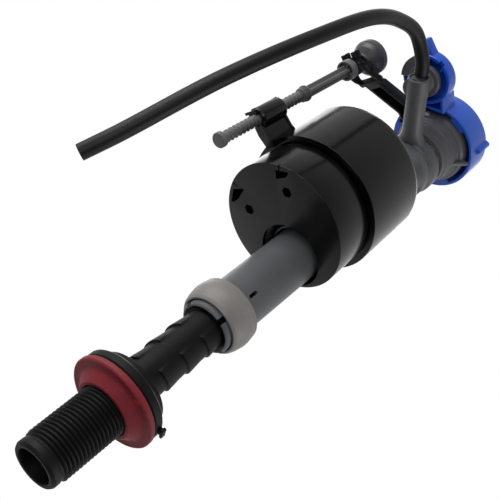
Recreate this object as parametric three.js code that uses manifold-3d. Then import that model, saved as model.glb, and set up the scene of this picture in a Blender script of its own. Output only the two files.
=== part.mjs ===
// Toilet fill valve: a telescoping, float-operated inlet valve for a cistern.
// Units are millimetres and +Z is up. The model is drawn about the valve's axis with Z = 0 on the
// underside of the shank flange, and the whole group is then lowered so that the origin ends up
// in the middle of the cap's flat top. +X points at the adjustment rod.
import * as THREE from 'three';
import { mergeVertices } from 'three/addons/utils/BufferGeometryUtils.js';
import Module from 'manifold-3d';

const wasm = await Module();
wasm.setup();

// ---------------------------------------------------------------- driving dimensions
const GAP = 0.3; // clearance between pieces that only rest on each other
const ROUND = 24; // facets round a large turned piece
const SMALL = 12; // facets round a small turned piece

const SHANK = {
  end: -41, threadBottom: -36.2, threadTop: -4.5, majorR: 11.1, rootR: 10, pitch: 1.814,
  pilotR: 10.4, boreR: 7.9, faceR: 9.7,
  flangeR: 20, flangeTop: 4.6, stepR: 16.2, stepTop: 8.4, lugAt: 139,
};
const TUBE = {
  bottom: 8, top: 170, coreR: 9, ridgeR: 9.9, boreR: 6.6, ridgeBottom: 10.8,
  pitch: 12, gapsFrom: [20, 200], gapSweep: 61, // the ridges are two arcs in each turn
};
const WASHER = { boreR: 11.4, rimR: 20.5, hubR: 16.4, tipR: 12.8, thickness: 3.3, hubDepth: 7.4 };
const RISER = {
  bottom: 50, top: 201, outR: 12.3, inR: 10.4, gripR: 10.25, flangeR: 14.7, flangeTop: 205,
  slitFrom: 78, slitHalf: 1.2, slitTop: 63, windowAt: 77, windowBottom: 69.2, windowTop: 74,
};
const LOCK = { bottom: 52.6, top: 66, boreR: 12.7 };
const SUPPLY = { bottom: 40, top: 212.6, outR: 5.2, inR: 4, shoulderR: 6.2, sealR: 6.45 };
const OUTLET = {
  bottom: 205.3, top: 213.3, outR: 15.6, inR: 10.4, azimuth: 33,
  pipeZ: 209.3, pipeR: 5.1, collarR: 5.5, pipeBoreR: 2.2, pipeEnd: 49.6, nippleR: 2.3, nippleEnd: 57,
  nippleRise: 1.4, nippleBoreR: 1.3,
};
const ADJUSTER = {
  radius: 44.2, azimuth: 31.5, columnR: 5.4, discR: 8.4, discBottom: 216, discTop: 219,
  boreR: 3.7, stemR: 3.4, pegR: 2.6, grooveR: 2.7, stemBottom: 208, grooveBottom: 213.2,
  grooveTop: 215, shoulderTop: 216, stemTop: 223.3,
  plateR: 13, plateBottom: 216.9, plateTop: 218.3, plateSweep: 93,
};
const BODY = { bottom: 213.6, shelfZ: 220, shelfR: 14.9, rimTop: 236, seatZ: 219, windowY: 5.6 };
const BAYONET = [70, 190, 310]; // azimuths of the body's tabs and of the cap's ledges
const CAP = {
  bottom: 232.5, top: 249, outR: 23.6, inR: 21.9, roof: 246.4,
  tabBottom: 229, tabTop: 241, tabEnd: 31, tabWall: 1.4, earAt: 116,
};
const SEAL = { bottom: 220.2, top: 221.6, outR: 14.5, holeR: 1.9 };
const RETAINER = { bottom: 221.9, top: 224, outR: 14.5, bossTop: 224.4, bossR: 3.6, boreR: 1.85 };
const PIVOT = { x: 10.5, z: 227, pinR: 1.2, boreR: 1.5, pinHalf: 6.7 };
const PLUNGER = { tip: 221.4, headBottom: 227, top: 228.2, stemR: 1.5, headR: 1.9 };
const LEVER = {
  halfWidth: 4.4, wall: 1.5, halfHeight: 2.7, elbow: [25, 225.6], forkInY: 5.2, forkOutY: 6.6,
  crotch: 13, waist: 0.5, drop: 3.4, rise: 2.9, prong: 3.6, slotLength: 4.6, slotR: 1.75,
};
const ROD = {
  footX: 62.7, footZ: 100.4, leanDeg: 2.7, // the rod leans towards the riser as it rises
  footTop: 3.4, footR: 3.6, coreR: 1.4, rootR: 2.25, crestR: 2.8, pitch: 2.6, threadTop: 57.5,
  collarR: 3.9, collarTop: 61, shaftR: 2.8, flangeZ: 93, flangeR: 5, neckBottom: 97, neckR: 2.4,
  neckTop: 106, knobZ: 108.5, knobTop: 117.5, knobR: 9,
};
const CLIP = { bottom: 98.2, top: 103.8, outR: 4.7, boreR: 2.7, trunnionR: 1.2, jaw: 7 };
const FLOAT = {
  x: 15.9, y: 4.3, axisDeg: -6, holeR: 13.4, wall: 1.6,
  lowerR: 31, lowerTopR: 30.6, lowerBottom: 108.9, lowerTop: 130, neckR: 26.6, neckTop: 134,
  upperBottomR: 33.6, upperTopR: 33, upperBottom: 131.4, upperTop: 171, filletR: 5,
  dimple: [13, 14.2], drain: [22.7, 16.3], // along and across the float's axis, on both sides
};
const BRACKET = {
  outX: 66, webHalfY: 2.4, bottom: 125, top: 141.8, bossR: 5.2, bossBottom: 25.6, bossTop: 41.2,
  boreR: 3.15,
};
const KNOB = {
  bottom: 218.6, deck: 223.6, top: 225.6, outR: 13, inR: 11.1, handle: 19.5,
  handleAt: -12, ribAt: 47,
};
const HOSE = {
  outR: 3.45, inR: 2.6,
  hang: [
    [62, 36, 208], [72, 40, 195], [80, 45, 172], [85, 44, 134], [88, 31, 88], [87, 10, 50],
    [87, 0, 36],
  ],
};

// ---------------------------------------------------------------- materials
const paint = (color, roughness, metalness = 0) => ({ color, roughness, metalness });
const BLACK = paint(0x17181a, 0.38);
const GLOSS_BLACK = paint(0x0e0f10, 0.18);
const GREY = paint(0x6f6e70, 0.5);
const PALE_GREY = paint(0xa19a94, 0.5);
const BLUE = paint(0x2350b8, 0.35);
const RED_RUBBER = paint(0x7d2029, 0.75);
const BLACK_RUBBER = paint(0x141414, 0.85);

// ---------------------------------------------------------------- solids
function polar(radius, azimuthDeg) {
  const angle = THREE.MathUtils.degToRad(azimuthDeg);
  return { x: radius * Math.cos(angle), y: radius * Math.sin(angle) };
}

// A closed three.js geometry as a manifold solid.
function solid(geometry) {
  const bare = geometry.clone();
  bare.deleteAttribute('normal');
  bare.deleteAttribute('uv');
  const merged = mergeVertices(bare, 1e-4);
  const index = merged.index.array;
  const kept = [];
  for (let i = 0; i < index.length; i += 3) {
    const [a, b, c] = [index[i], index[i + 1], index[i + 2]];
    if (a !== b && b !== c && c !== a) kept.push(a, b, c);
  }
  const mesh = new wasm.Mesh({
    numProp: 3,
    vertProperties: new Float32Array(merged.attributes.position.array),
    triVerts: new Uint32Array(kept),
  });
  return new wasm.Manifold(mesh);
}

const join = (first, ...rest) => rest.reduce((sum, next) => sum.add(next), first);
const cut = (first, ...rest) => rest.reduce((left, next) => left.subtract(next), first);

// A profile of [radius, z] points turned about the Z axis. It starts and ends on the axis,
// or is closed back on its first point.
function turnedGeometry(profile, facets = ROUND) {
  const points = profile.map(([r, z]) => new THREE.Vector2(r, z));
  const onAxis = profile[0][0] === 0 && profile.at(-1)[0] === 0;
  if (!onAxis) points.push(points[0].clone());
  return new THREE.LatheGeometry(points, facets).rotateX(Math.PI / 2);
}

const turned = (profile, facets) => solid(turnedGeometry(profile, facets));
const tube = (outR, inR, bottom, top, facets) =>
  turned([[inR, bottom], [outR, bottom], [outR, top], [inR, top]], facets);
const disc = (r, bottom, top, facets) =>
  turned([[0, bottom], [r, bottom], [r, top], [0, top]], facets);

// A disc whose axis passes through (x, y).
const post = (x, y, r, bottom, top, facets = SMALL) =>
  solid(turnedGeometry([[0, bottom], [r, bottom], [r, top], [0, top]], facets).translate(x, y, 0));

function block(x0, x1, y0, y1, z0, z1, turnDeg = 0) {
  const geometry = new THREE.BoxGeometry(x1 - x0, y1 - y0, z1 - z0);
  geometry.translate((x0 + x1) / 2, (y0 + y1) / 2, (z0 + z1) / 2);
  return solid(geometry.rotateZ(THREE.MathUtils.degToRad(turnDeg)));
}

// A round bar along X from x0 to x1 at height z, turned about the valve's axis.
function barX(x0, x1, r, z, turnDeg = 0, facets = SMALL) {
  const geometry = new THREE.CylinderGeometry(r, r, x1 - x0, facets).rotateZ(-Math.PI / 2);
  geometry.translate((x0 + x1) / 2, 0, z);
  return solid(geometry.rotateZ(THREE.MathUtils.degToRad(turnDeg)));
}

// A round bar along Y, centred on Y = 0.
function barY(x, z, r, half, facets = SMALL) {
  const geometry = new THREE.CylinderGeometry(r, r, 2 * half, facets);
  return solid(geometry.translate(x, 0, z));
}

// An outline of [x, z] points in the XZ plane, given a thickness across Y about y = middle.
function plateXZ(outline, half, middle = 0) {
  const shape = new THREE.Shape(outline.map(([x, z]) => new THREE.Vector2(x, z)));
  const geometry = new THREE.ExtrudeGeometry(shape, { depth: 2 * half, bevelEnabled: false });
  return solid(geometry.rotateX(Math.PI / 2).translate(0, middle + half, 0));
}

// An outline of [x, y] points with a thickness from bottom to top.
function plateXY(outline, bottom, top) {
  const shape = new THREE.Shape(outline.map(([x, y]) => new THREE.Vector2(x, y)));
  const geometry = new THREE.ExtrudeGeometry(shape, { depth: top - bottom, bevelEnabled: false });
  return solid(geometry.translate(0, 0, bottom));
}

// A sector of a ring about (cx, cy), between two radii and two azimuths in degrees.
function sector(outR, inR, fromDeg, toDeg, bottom, top, steps = 8, cx = 0, cy = 0) {
  const arc = (r) => Array.from({ length: steps + 1 }, (_, i) => {
    const { x, y } = polar(r, fromDeg + ((toDeg - fromDeg) * i) / steps);
    return [cx + x, cy + y];
  });
  const inside = inR === 0 ? [[cx, cy]] : arc(inR).reverse();
  return plateXY([...arc(outR), ...inside], bottom, top);
}

// A right-handed screw: a lathe profile of repeated teeth, sheared by one pitch per turn. A tooth
// rises from its root to its crest, which stands at a share of the pitch, and then falls back.
// The two steps where the last turn meets the first are closed with flat patches.
function screw({ rootR, crestR, pitch, bottom, top, facets, crest = 0.5 }) {
  const turns = Math.ceil((top - bottom) / pitch) + 1;
  const start = bottom - pitch;
  const profile = [[0, start]];
  for (let turn = 0; turn < turns; turn++) {
    const foot = start + turn * pitch;
    profile.push([rootR, foot], [crestR, foot + crest * pitch]);
  }
  profile.push([rootR, start + turns * pitch], [0, start + turns * pitch]);
  const geometry = turnedGeometry(profile, facets);
  const position = geometry.attributes.position;
  const rows = profile.length;
  for (let column = 0; column <= facets; column++) {
    for (let row = 1; row < rows - 1; row++) {
      const i = column * rows + row;
      position.setZ(i, position.getZ(i) + (pitch * column) / facets);
    }
  }
  const columnsEnd = (facets + 1) * rows;
  const lowerStep = [0, 1, 2, 0, 2, 3];
  const upperStep = [1, 2, 3, 1, 3, 4].map((fromTop) => columnsEnd - fromTop);
  geometry.setIndex([...geometry.index.array, ...lowerStep, ...upperStep]);
  return solid(geometry).intersect(disc(crestR + 1, bottom, top, facets));
}

// A solid's surface as a three.js geometry.
function surface(body) {
  const { vertProperties, triVerts } = body.getMesh();
  const geometry = new THREE.BufferGeometry();
  geometry.setAttribute('position', new THREE.BufferAttribute(new Float32Array(vertProperties), 3));
  return geometry.setIndex(new THREE.BufferAttribute(new Uint32Array(triVerts), 1));
}

const turnedBy = (body, deg) => solid(surface(body).rotateZ(THREE.MathUtils.degToRad(deg)));

// The solid as a named mesh with its own material.
function piece(name, look, body) {
  const material = new THREE.MeshStandardMaterial({ ...look, flatShading: true });
  const mesh = new THREE.Mesh(surface(body), material);
  mesh.name = name;
  return mesh;
}

// ---------------------------------------------------------------- shank
function shankTube() {
  const s = SHANK;
  const t = TUBE;
  const thread = screw({
    rootR: s.rootR, crestR: s.majorR, pitch: s.pitch, bottom: s.threadBottom, top: s.threadTop,
    facets: 12,
  });
  const pilot = turned([
    [0, s.end], [s.faceR, s.end], [s.pilotR, s.end + 1.2], [s.pilotR, s.threadBottom + 0.6],
    [0, s.threadBottom + 0.6],
  ]);
  const flange = turned([
    [0, s.threadTop - 1], [s.rootR, s.threadTop - 1], [s.rootR, 0], [s.flangeR, 0],
    [s.flangeR, s.flangeTop - 1], [s.flangeR - 1, s.flangeTop], [s.stepR, s.flangeTop],
    [s.stepR, s.stepTop - 0.8], [s.stepR - 0.8, s.stepTop], [0, s.stepTop],
  ]);
  const core = disc(t.coreR, t.bottom - 1, t.top);
  const ridges = screw({
    rootR: t.coreR - 0.6, crestR: t.ridgeR, pitch: t.pitch, bottom: t.ridgeBottom, top: t.top - 1,
    facets: 12, crest: 0.03,
  });
  const gaps = t.gapsFrom.map((from) =>
    sector(t.ridgeR + 2, 0, from, from + t.gapSweep, s.stepTop, t.top + 1, 4));
  const lug = join(
    block(s.flangeR - 2, s.flangeR + 1.2, -1, 1, 1.2, 3.6, s.lugAt),
    block(s.flangeR + 1, s.flangeR + 2.3, -2.4, 2.4, 1.2, 3.6, s.lugAt),
  );
  const bore = turned([
    [0, s.end - 1], [s.boreR, s.end - 1], [s.boreR, s.flangeTop], [t.boreR, s.flangeTop + 1.5],
    [t.boreR, t.top + 1], [0, t.top + 1],
  ], 24);
  return cut(join(thread, pilot, flange, core, cut(ridges, ...gaps), lug), bore);
}

// A rubber washer with a flat rim and a hub that tapers down into the tank hole.
function shankWasher() {
  const { boreR, rimR, hubR, tipR, thickness, hubDepth } = WASHER;
  return turned([
    [boreR, -hubDepth], [tipR, -hubDepth], [hubR, -thickness], [rimR - 0.7, -thickness],
    [rimR, -thickness + 0.7], [rimR, -GAP - 0.5], [rimR - 0.5, -GAP], [boreR, -GAP],
  ]);
}

// ---------------------------------------------------------------- riser
// Four slits turn the riser's lower end into gripping fingers, with a latch window above one.
function riserTube() {
  const r = RISER;
  const pipe = turned([
    [r.gripR, r.bottom + 2.2], [r.gripR + 0.55, r.bottom], [r.outR - 0.5, r.bottom],
    [r.outR, r.bottom + 0.5], [r.outR, r.top - 3], [r.flangeR, r.top - 1],
    [r.flangeR, r.flangeTop], [r.inR, r.flangeTop], [r.inR, r.bottom + 12], [r.gripR, r.bottom + 9],
  ]);
  const slits = [0, 90, 180, 270].map((step) =>
    block(r.inR - 3, r.outR + 1, -r.slitHalf, r.slitHalf, r.bottom - 1, r.slitTop,
      r.slitFrom + step));
  const window = block(
    r.inR - 2, r.outR + 1, -0.8, 0.8, r.windowBottom, r.windowTop, r.windowAt,
  );
  return cut(pipe, ...slits, window);
}

function lockRing() {
  const { bottom, top, boreR } = LOCK;
  return turned([
    [boreR, bottom + 0.3], [boreR + 0.3, bottom], [13.7, bottom], [14.8, bottom + 1.6],
    [15.6, bottom + 4.5], [15.8, bottom + 8], [15.5, bottom + 11.5], [15.1, top - 0.3],
    [14.8, top], [boreR, top],
  ]);
}

// The pipe that carries water up inside the riser.
function supplyTube() {
  const { bottom, top, outR, inR, shoulderR } = SUPPLY;
  return turned([
    [inR, bottom], [shoulderR, bottom], [shoulderR, bottom + 1.7], [outR, bottom + 1.7],
    [outR, bottom + 5.3], [shoulderR, bottom + 5.3], [shoulderR, bottom + 7],
    [outR, bottom + 8.5], [outR, top], [inR, top],
  ], 20);
}

function supplySeal() {
  const { bottom, outR, sealR } = SUPPLY;
  const [low, high] = [bottom + 2, bottom + 5];
  return turned([
    [outR + 0.1, low], [sealR - 0.5, low], [sealR, (low + high) / 2], [sealR - 0.5, high],
    [outR + 0.1, high],
  ], 20);
}

// ---------------------------------------------------------------- outlet and refill adjuster
// The ring on top of the riser, with the refill pipe, the adjuster's housing and its scale plate.
function outletManifold() {
  const o = OUTLET;
  const a = ADJUSTER;
  const ring = turned([
    [o.inR, o.bottom], [o.outR - 1.4, o.bottom], [o.outR - 0.3, o.bottom + 2],
    [o.outR, o.bottom + 3.4], [o.outR, o.top], [o.inR, o.top],
  ]);
  const pipe = join(
    barX(o.outR - 4, o.pipeEnd, o.pipeR, o.pipeZ, o.azimuth, ROUND),
    barX(o.pipeEnd - 3, o.pipeEnd, o.collarR, o.pipeZ, o.azimuth, ROUND),
  );
  const nipple = barX(o.pipeEnd - 1, o.nippleEnd, o.nippleR, o.pipeZ + o.nippleRise, o.azimuth);
  const { x, y } = polar(a.radius, a.azimuth);
  const housing = solid(turnedGeometry([
    [0, o.pipeZ - 3], [a.columnR, o.pipeZ - 3], [a.columnR, a.discBottom],
    [a.discR - 0.4, a.discBottom], [a.discR, a.discBottom + 0.4], [a.discR, a.discTop],
    [0, a.discTop],
  ], ROUND).translate(x, y, 0));
  const plate = sector(
    a.plateR, 0, a.azimuth - a.plateSweep, a.azimuth, a.plateBottom, a.plateTop, 10, x, y,
  );
  const spindleBore = post(x, y, a.boreR, o.pipeZ - 1.6, a.discTop + 1, 16);
  const inner = barX(o.inR - 4, a.radius, o.pipeBoreR, o.pipeZ, o.azimuth);
  const outer = barX(a.radius, o.nippleEnd + 1, o.nippleBoreR, o.pipeZ + o.nippleRise, o.azimuth);
  const flangeRoom = disc(RISER.flangeR + GAP, 190, o.bottom);
  const bodyRoom = disc(o.outR, o.top, 230);
  const core = disc(o.inR, 190, o.top + 1);
  return cut(join(ring, pipe, nipple, housing, plate),
    spindleBore, inner, outer, flangeRoom, bodyRoom, core);
}

function neckSeal() {
  return tube(OUTLET.inR - 0.2, 8.4, RISER.flangeTop - 2.2, RISER.flangeTop + 2.2, 24);
}

// The rotary spindle that opens and closes the refill passage, with a groove for its seal.
function adjusterSpindle() {
  const a = ADJUSTER;
  const { x, y } = polar(a.radius, a.azimuth);
  const stem = solid(turnedGeometry([
    [0, a.stemBottom], [a.stemR, a.stemBottom], [a.stemR, a.grooveBottom],
    [a.grooveR, a.grooveBottom], [a.grooveR, a.grooveTop], [a.stemR, a.grooveTop],
    [a.stemR, a.shoulderTop], [a.pegR, a.shoulderTop], [a.pegR, a.stemTop], [0, a.stemTop],
  ], 16).translate(x, y, 0));
  const passage = barX(a.radius - 6, a.radius + 6, 1.5, OUTLET.pipeZ + 0.8, OUTLET.azimuth);
  return cut(stem, passage);
}

function spindleSeal() {
  const a = ADJUSTER;
  const bottom = a.grooveBottom + 0.2;
  const { x, y } = polar(a.radius, a.azimuth);
  return solid(turnedGeometry([
    [a.grooveR + 0.1, bottom], [a.stemR - 0.1, bottom], [a.boreR - 0.1, bottom + 0.7],
    [a.stemR - 0.1, bottom + 1.4], [a.grooveR + 0.1, bottom + 1.4],
  ], 16).translate(x, y, 0));
}

// A round knob with a deep skirt, a stop rib inside it and a pointed handle.
function adjusterKnob() {
  const { bottom, deck, top, outR, inR, handle, handleAt, ribAt } = KNOB;
  const around = turned([
    [0, deck], [inR, deck], [inR, bottom], [outR - 0.4, bottom], [outR, bottom + 0.4],
    [outR, top - 0.8], [outR - 0.8, top], [0, top],
  ]);
  const rib = block(inR - 2, inR + 0.5, -0.6, 0.6, bottom + 0.8, deck + 0.2, ribAt);
  const lever = plateXY([
    [outR - 3, -4.6], [outR + 1.6, -3.4], [handle, -0.9], [handle, 0.9], [outR + 1.6, 3.4],
    [outR - 3, 4.6],
  ], bottom + 0.6, top);
  const socket = tube(4.6, 2.9, deck - 2.4, deck + 0.2, SMALL);
  return join(around, rib, turnedBy(lever, handleAt), socket);
}

// ---------------------------------------------------------------- valve head
function valveBody() {
  const { bottom, shelfZ, shelfR, rimTop, seatZ, windowY } = BODY;
  const bowl = turned([
    [12.6, bottom], [13.3, bottom], [13.3, bottom + 3.7], [14.9, bottom + 3.9],
    [15.6, bottom + 5.4], [16.6, shelfZ + 2],
    [17.4, 229], [18.6, 229.6], [19.4, 231], [19.4, rimTop], [17.2, rimTop], [17.2, 230],
    [shelfR, 228], [shelfR, shelfZ], [12.2, shelfZ], [12.2, bottom + 3.4], [12.6, bottom + 3.4],
  ]);
  const web = tube(12.8, 6.2, bottom + 0.6, bottom + 2.6, 24);
  const nozzle = turned([
    [5.45, 207.6], [7, 207.6], [7, 217.6], [5.6, seatZ], [4.1, seatZ], [4.1, 213.2], [5.45, 213.2],
  ], 24);
  const ports = [45, 135, 225, 315].map((middle) =>
    sector(11.6, 8, middle - 34, middle + 34, bottom - 1, bottom + 3.2, 4));
  const sidePorts = Array.from({ length: 12 }, (_, i) =>
    sector(14, 12, 30 * i - 5, 30 * i + 5, bottom - 1, bottom + 3, 1));
  const tabs = BAYONET.map((at) => sector(21.4, 18, at - 14, at + 14, 234.2, rimTop, 4));
  const window = block(11, 25, -windowY, windowY, shelfZ + 0.6, rimTop + 1);
  const shell = cut(join(bowl, web, nozzle), ...ports, ...sidePorts);
  return cut(join(shell, ...tabs), window);
}

function waterSeal() {
  const { bottom, top, outR, holeR } = SEAL;
  return turned([
    [holeR, BODY.seatZ + 0.15], [6.4, BODY.seatZ + 0.15], [7.6, bottom], [outR, bottom],
    [outR, top], [6, top - 0.2], [4.5, top - 0.5], [holeR, top - 0.5],
  ], 24);
}

// The disc that clamps the seal, guides the plunger and carries the lever's pivot.
function sealRetainer() {
  const { bottom, top, outR, bossTop, bossR, boreR } = RETAINER;
  const plate = disc(outR, bottom, top, 24);
  const boss = disc(bossR, bottom, bossTop, SMALL);
  const ears = [-1, 1].map((side) => {
    const [near, far] = [side * 4.9, side * 6.9];
    return block(PIVOT.x - 2.4, PIVOT.x + 2.3, Math.min(near, far), Math.max(near, far),
      bottom + 0.5, PIVOT.z + 2.4);
  });
  const guide = disc(boreR, bottom - 1, bossTop + 1, SMALL);
  const leverRoom = block(PIVOT.x - 2, 20, -4.9, 4.9, top - 0.9, 240);
  const pinHole = barY(PIVOT.x, PIVOT.z, PIVOT.boreR, 10);
  return cut(join(plate, boss, ...ears), guide, leverRoom, pinHole);
}

function plunger() {
  const { tip, headBottom, top, stemR, headR } = PLUNGER;
  return turned([
    [0, tip - 0.6], [stemR - 0.7, tip - 0.6], [stemR, tip + 0.6], [stemR, headBottom],
    [headR, headBottom], [headR, top], [0, top],
  ], SMALL);
}

// A cranked arm: it presses on the plunger inside the head, pivots, and drops to the rod clip.
// Its underside is a ribbed channel and its fork is slotted for the clip's trunnions.
function floatLever() {
  const l = LEVER;
  const end = clipAxis();
  const [elbowX, elbowZ] = l.elbow;
  const slope = Math.atan2(elbowZ - end.z, end.x - elbowX);
  // A point at a distance back from the clip along the sloping arm, and above its centre line.
  const along = (back, above) => [
    end.x - back * Math.cos(slope) + above * Math.sin(slope),
    end.z + back * Math.sin(slope) + above * Math.cos(slope),
  ];
  const { crotch, halfHeight, waist, drop } = l;
  const head = plateXZ([
    [-2.2, 228.7], [2.2, 228.7], [7.4, 226.4], [9, 224.6], [12, 224.4],
    [elbowX - 1, elbowZ - halfHeight], along(crotch - 1.6, -halfHeight),
    along(crotch - 1.6, waist), along(crotch + 0.5, waist), along(crotch + 5, halfHeight),
    [elbowX + 1, elbowZ + halfHeight], [19, 228.8], [12, 229.8], [3, 231.2], [-2.2, 231.2],
  ], l.halfWidth);
  const cheeks = [-1, 1].map((side) => plateXZ([
    along(crotch + 1, -halfHeight), along(8, -drop), along(-l.prong, -drop),
    along(-l.prong, l.rise), along(6, l.rise), along(10, waist), along(crotch + 1, waist),
  ], (l.forkOutY - l.forkInY) / 2, (side * (l.forkOutY + l.forkInY)) / 2));
  const yoke = plateXZ([
    along(crotch + 1, -halfHeight), along(crotch - 1.6, -halfHeight), along(crotch - 1.6, waist),
    along(crotch + 1, waist),
  ], l.forkOutY);
  const channel = plateXZ([
    [15, 220], [15, 225.6], [elbowX - 0.6, elbowZ + 1.2], along(crotch + 4, 1),
    along(crotch + 4, -8), [elbowX, 215],
  ], l.halfWidth - l.wall);
  const ribs = [6, 12, 18, 24].map((back) => plateXZ([
    along(crotch + back - 0.5, 0.4 - halfHeight), along(crotch + back + 0.5, 0.4 - halfHeight),
    along(crotch + back + 0.5, 1.6), along(crotch + back - 0.5, 1.6),
  ], l.halfWidth - 0.5));
  const reach = Math.atan2(PIVOT.z - end.z, end.x - PIVOT.x);
  const slots = [0, 0.25, 0.5, 0.75, 1].map((share) => barY(
    end.x - l.slotLength * share * Math.cos(reach), end.z + l.slotLength * share * Math.sin(reach),
    l.slotR, 10,
  ));
  const mouth = plateXZ([
    along(0, l.slotR), along(0, -l.slotR), along(-l.prong - 1, -l.slotR),
    along(-l.prong - 1, l.slotR),
  ], 10);
  const pinHole = barY(PIVOT.x, PIVOT.z, PIVOT.boreR, 10);
  return cut(join(cut(head, channel), ...ribs, yoke, ...cheeks), pinHole, ...slots, mouth);
}

const leverPin = () => barY(PIVOT.x, PIVOT.z, PIVOT.pinR, PIVOT.pinHalf, SMALL);

// A bayonet cap. Its ledges hook under the body's tabs until it is turned by its hollow tab.
function cap() {
  const { bottom, top, outR, inR, roof, tabBottom, tabTop, tabEnd, tabWall, earAt } = CAP;
  const shell = turned([
    [0, roof], [inR - 1, roof], [inR, roof - 1], [inR, bottom], [outR - 0.3, bottom],
    [outR, bottom + 0.5], [outR, top - 1.2], [outR - 1.2, top], [0, top],
  ], 40);
  const ledges = BAYONET.map((at) =>
    sector(inR + 0.5, 19.8, at - 12, at + 12, bottom, bottom + 1.3, 4));
  const end = tabEnd - tabWall;
  const tab = cut(
    plateXY([[outR - 1, -6], [tabEnd, -4.2], [tabEnd, 4.2], [outR - 1, 6]], tabBottom, tabTop),
    plateXY([[outR + 0.4, -4.4], [end, -3], [end, 3], [outR + 0.4, 4.4]], tabBottom - 1,
      tabTop - tabWall),
  );
  const ear = plateXY([[outR - 1, -2.6], [outR + 1.9, -0.6], [outR + 1.9, 0.6], [outR - 1, 2.6]],
    238, top - 0.6);
  return join(shell, ...ledges, turnedBy(tab, OUTLET.azimuth), turnedBy(ear, earAt));
}

// ---------------------------------------------------------------- refill hose
// Its centre line follows the nipple, bends over past the rod and hangs down beside it. The bore
// runs over both ends.
function drape(overrun) {
  const level = OUTLET.pipeZ + OUTLET.nippleRise;
  const onNipple = [OUTLET.pipeEnd + 0.9 - overrun, OUTLET.nippleEnd].map((radius) => {
    const { x, y } = polar(radius, OUTLET.azimuth);
    return new THREE.Vector3(x, y, level);
  });
  const hanging = HOSE.hang.map((knot) => new THREE.Vector3(...knot));
  const [before, end] = hanging.slice(-2);
  end.addScaledVector(end.clone().sub(before).normalize(), overrun);
  return new THREE.CatmullRomCurve3([...onNipple, ...hanging]);
}

function hoseBar(radius, facets, overrun) {
  const circle = new THREE.Shape();
  circle.moveTo(radius, 0);
  for (let i = 1; i < facets; i++) {
    const { x, y } = polar(radius, (360 * i) / facets);
    circle.lineTo(x, y);
  }
  const geometry = new THREE.ExtrudeGeometry(circle, {
    steps: 26, extrudePath: drape(overrun), bevelEnabled: false,
  });
  return solid(geometry);
}

function refillHose() {
  const o = OUTLET;
  const nippleRoom = barX(
    o.pipeEnd - 1, o.nippleEnd + GAP, o.nippleR + 0.02, o.pipeZ + o.nippleRise, o.azimuth,
  );
  return cut(hoseBar(HOSE.outR, 12, 0), hoseBar(HOSE.inR, 8, 1), nippleRoom);
}

// ---------------------------------------------------------------- rod and clip
// Everything on the rod is drawn upright from its foot and then leaned over with it.
const leaned = new THREE.Group();
leaned.position.set(ROD.footX, 0, ROD.footZ);
leaned.rotation.y = -THREE.MathUtils.degToRad(ROD.leanDeg);

// A point at a height on the rod's own axis, offset along its own X, in the valve's frame.
function onRod(height, offset = 0) {
  const lean = THREE.MathUtils.degToRad(ROD.leanDeg);
  return {
    x: ROD.footX - height * Math.sin(lean) + offset * Math.cos(lean),
    z: ROD.footZ + height * Math.cos(lean) + offset * Math.sin(lean),
  };
}

const clipAxis = () => onRod((CLIP.bottom + CLIP.top) / 2);

function adjustmentRod() {
  const r = ROD;
  const thread = screw({
    rootR: r.rootR, crestR: r.crestR, pitch: r.pitch, bottom: 1, top: r.threadTop - 0.5, facets: 8,
  });
  const stem = turned([
    [0, 0], [r.footR - 0.5, 0], [r.footR, 0.5], [r.footR, r.footTop - 1], [r.coreR, r.footTop],
    [r.coreR, r.threadTop - 1], [r.collarR, r.threadTop - 1], [r.collarR, r.collarTop - 1],
    [r.shaftR - 0.5, r.collarTop], [r.shaftR - 0.5, r.flangeZ - 1.5], [r.flangeR, r.flangeZ],
    [r.flangeR, r.neckBottom], [r.neckR, r.neckBottom], [r.neckR, r.neckTop],
    [r.knobR - 3.4, r.knobZ], [r.knobR - 0.4, r.knobZ + 0.6], [r.knobR, r.knobZ + 1.6],
    [r.knobR, r.knobTop - 2], [r.knobR - 0.9, r.knobTop - 0.4], [r.knobR - 3.6, r.knobTop],
    [0, r.knobTop],
  ], 16);
  const flutes = [0, 90].map((turnDeg) =>
    block(-r.shaftR, r.shaftR, -0.9, 0.9, r.collarTop - 1, r.flangeZ, turnDeg));
  return join(thread, stem, ...flutes);
}

// A C-shaped clip that snaps round the rod's neck and swings in the lever's fork.
function rodClip() {
  const { bottom, top, outR, boreR, trunnionR, jaw } = CLIP;
  const middle = (bottom + top) / 2;
  const ring = tube(outR, boreR, bottom, top, 20);
  const mouth = block(1, jaw + 1, -boreR + 0.5, boreR - 0.5, bottom - 1, top + 1);
  const groove = block(outR - 0.4, jaw + 1, -outR, outR, middle - 0.9, middle + 0.9);
  const trunnions = cut(barY(0, middle, trunnionR, LEVER.forkOutY), disc(3.6, 90, 110));
  const jaws = [-1, 1].map((side) => {
    const [near, far] = [side * (boreR - 0.4), side * (outR - 0.7)];
    return block(2.6, jaw, Math.min(near, far), Math.max(near, far), bottom, top);
  });
  return join(cut(join(ring, ...jaws), mouth, groove), trunnions);
}

// ---------------------------------------------------------------- float
// A point given in the float's own axes, turned and moved to the float's centre.
function floatPoint(along, across) {
  const angle = THREE.MathUtils.degToRad(FLOAT.axisDeg);
  return {
    x: FLOAT.x + along * Math.cos(angle) - across * Math.sin(angle),
    y: FLOAT.y + along * Math.sin(angle) + across * Math.cos(angle),
  };
}

const floatTurned = (profile, facets = 30) =>
  solid(turnedGeometry(profile, facets).translate(FLOAT.x, FLOAT.y, 0));

const riserHole = (bottom, top) => disc(FLOAT.holeR, bottom, top, ROUND);

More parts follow.
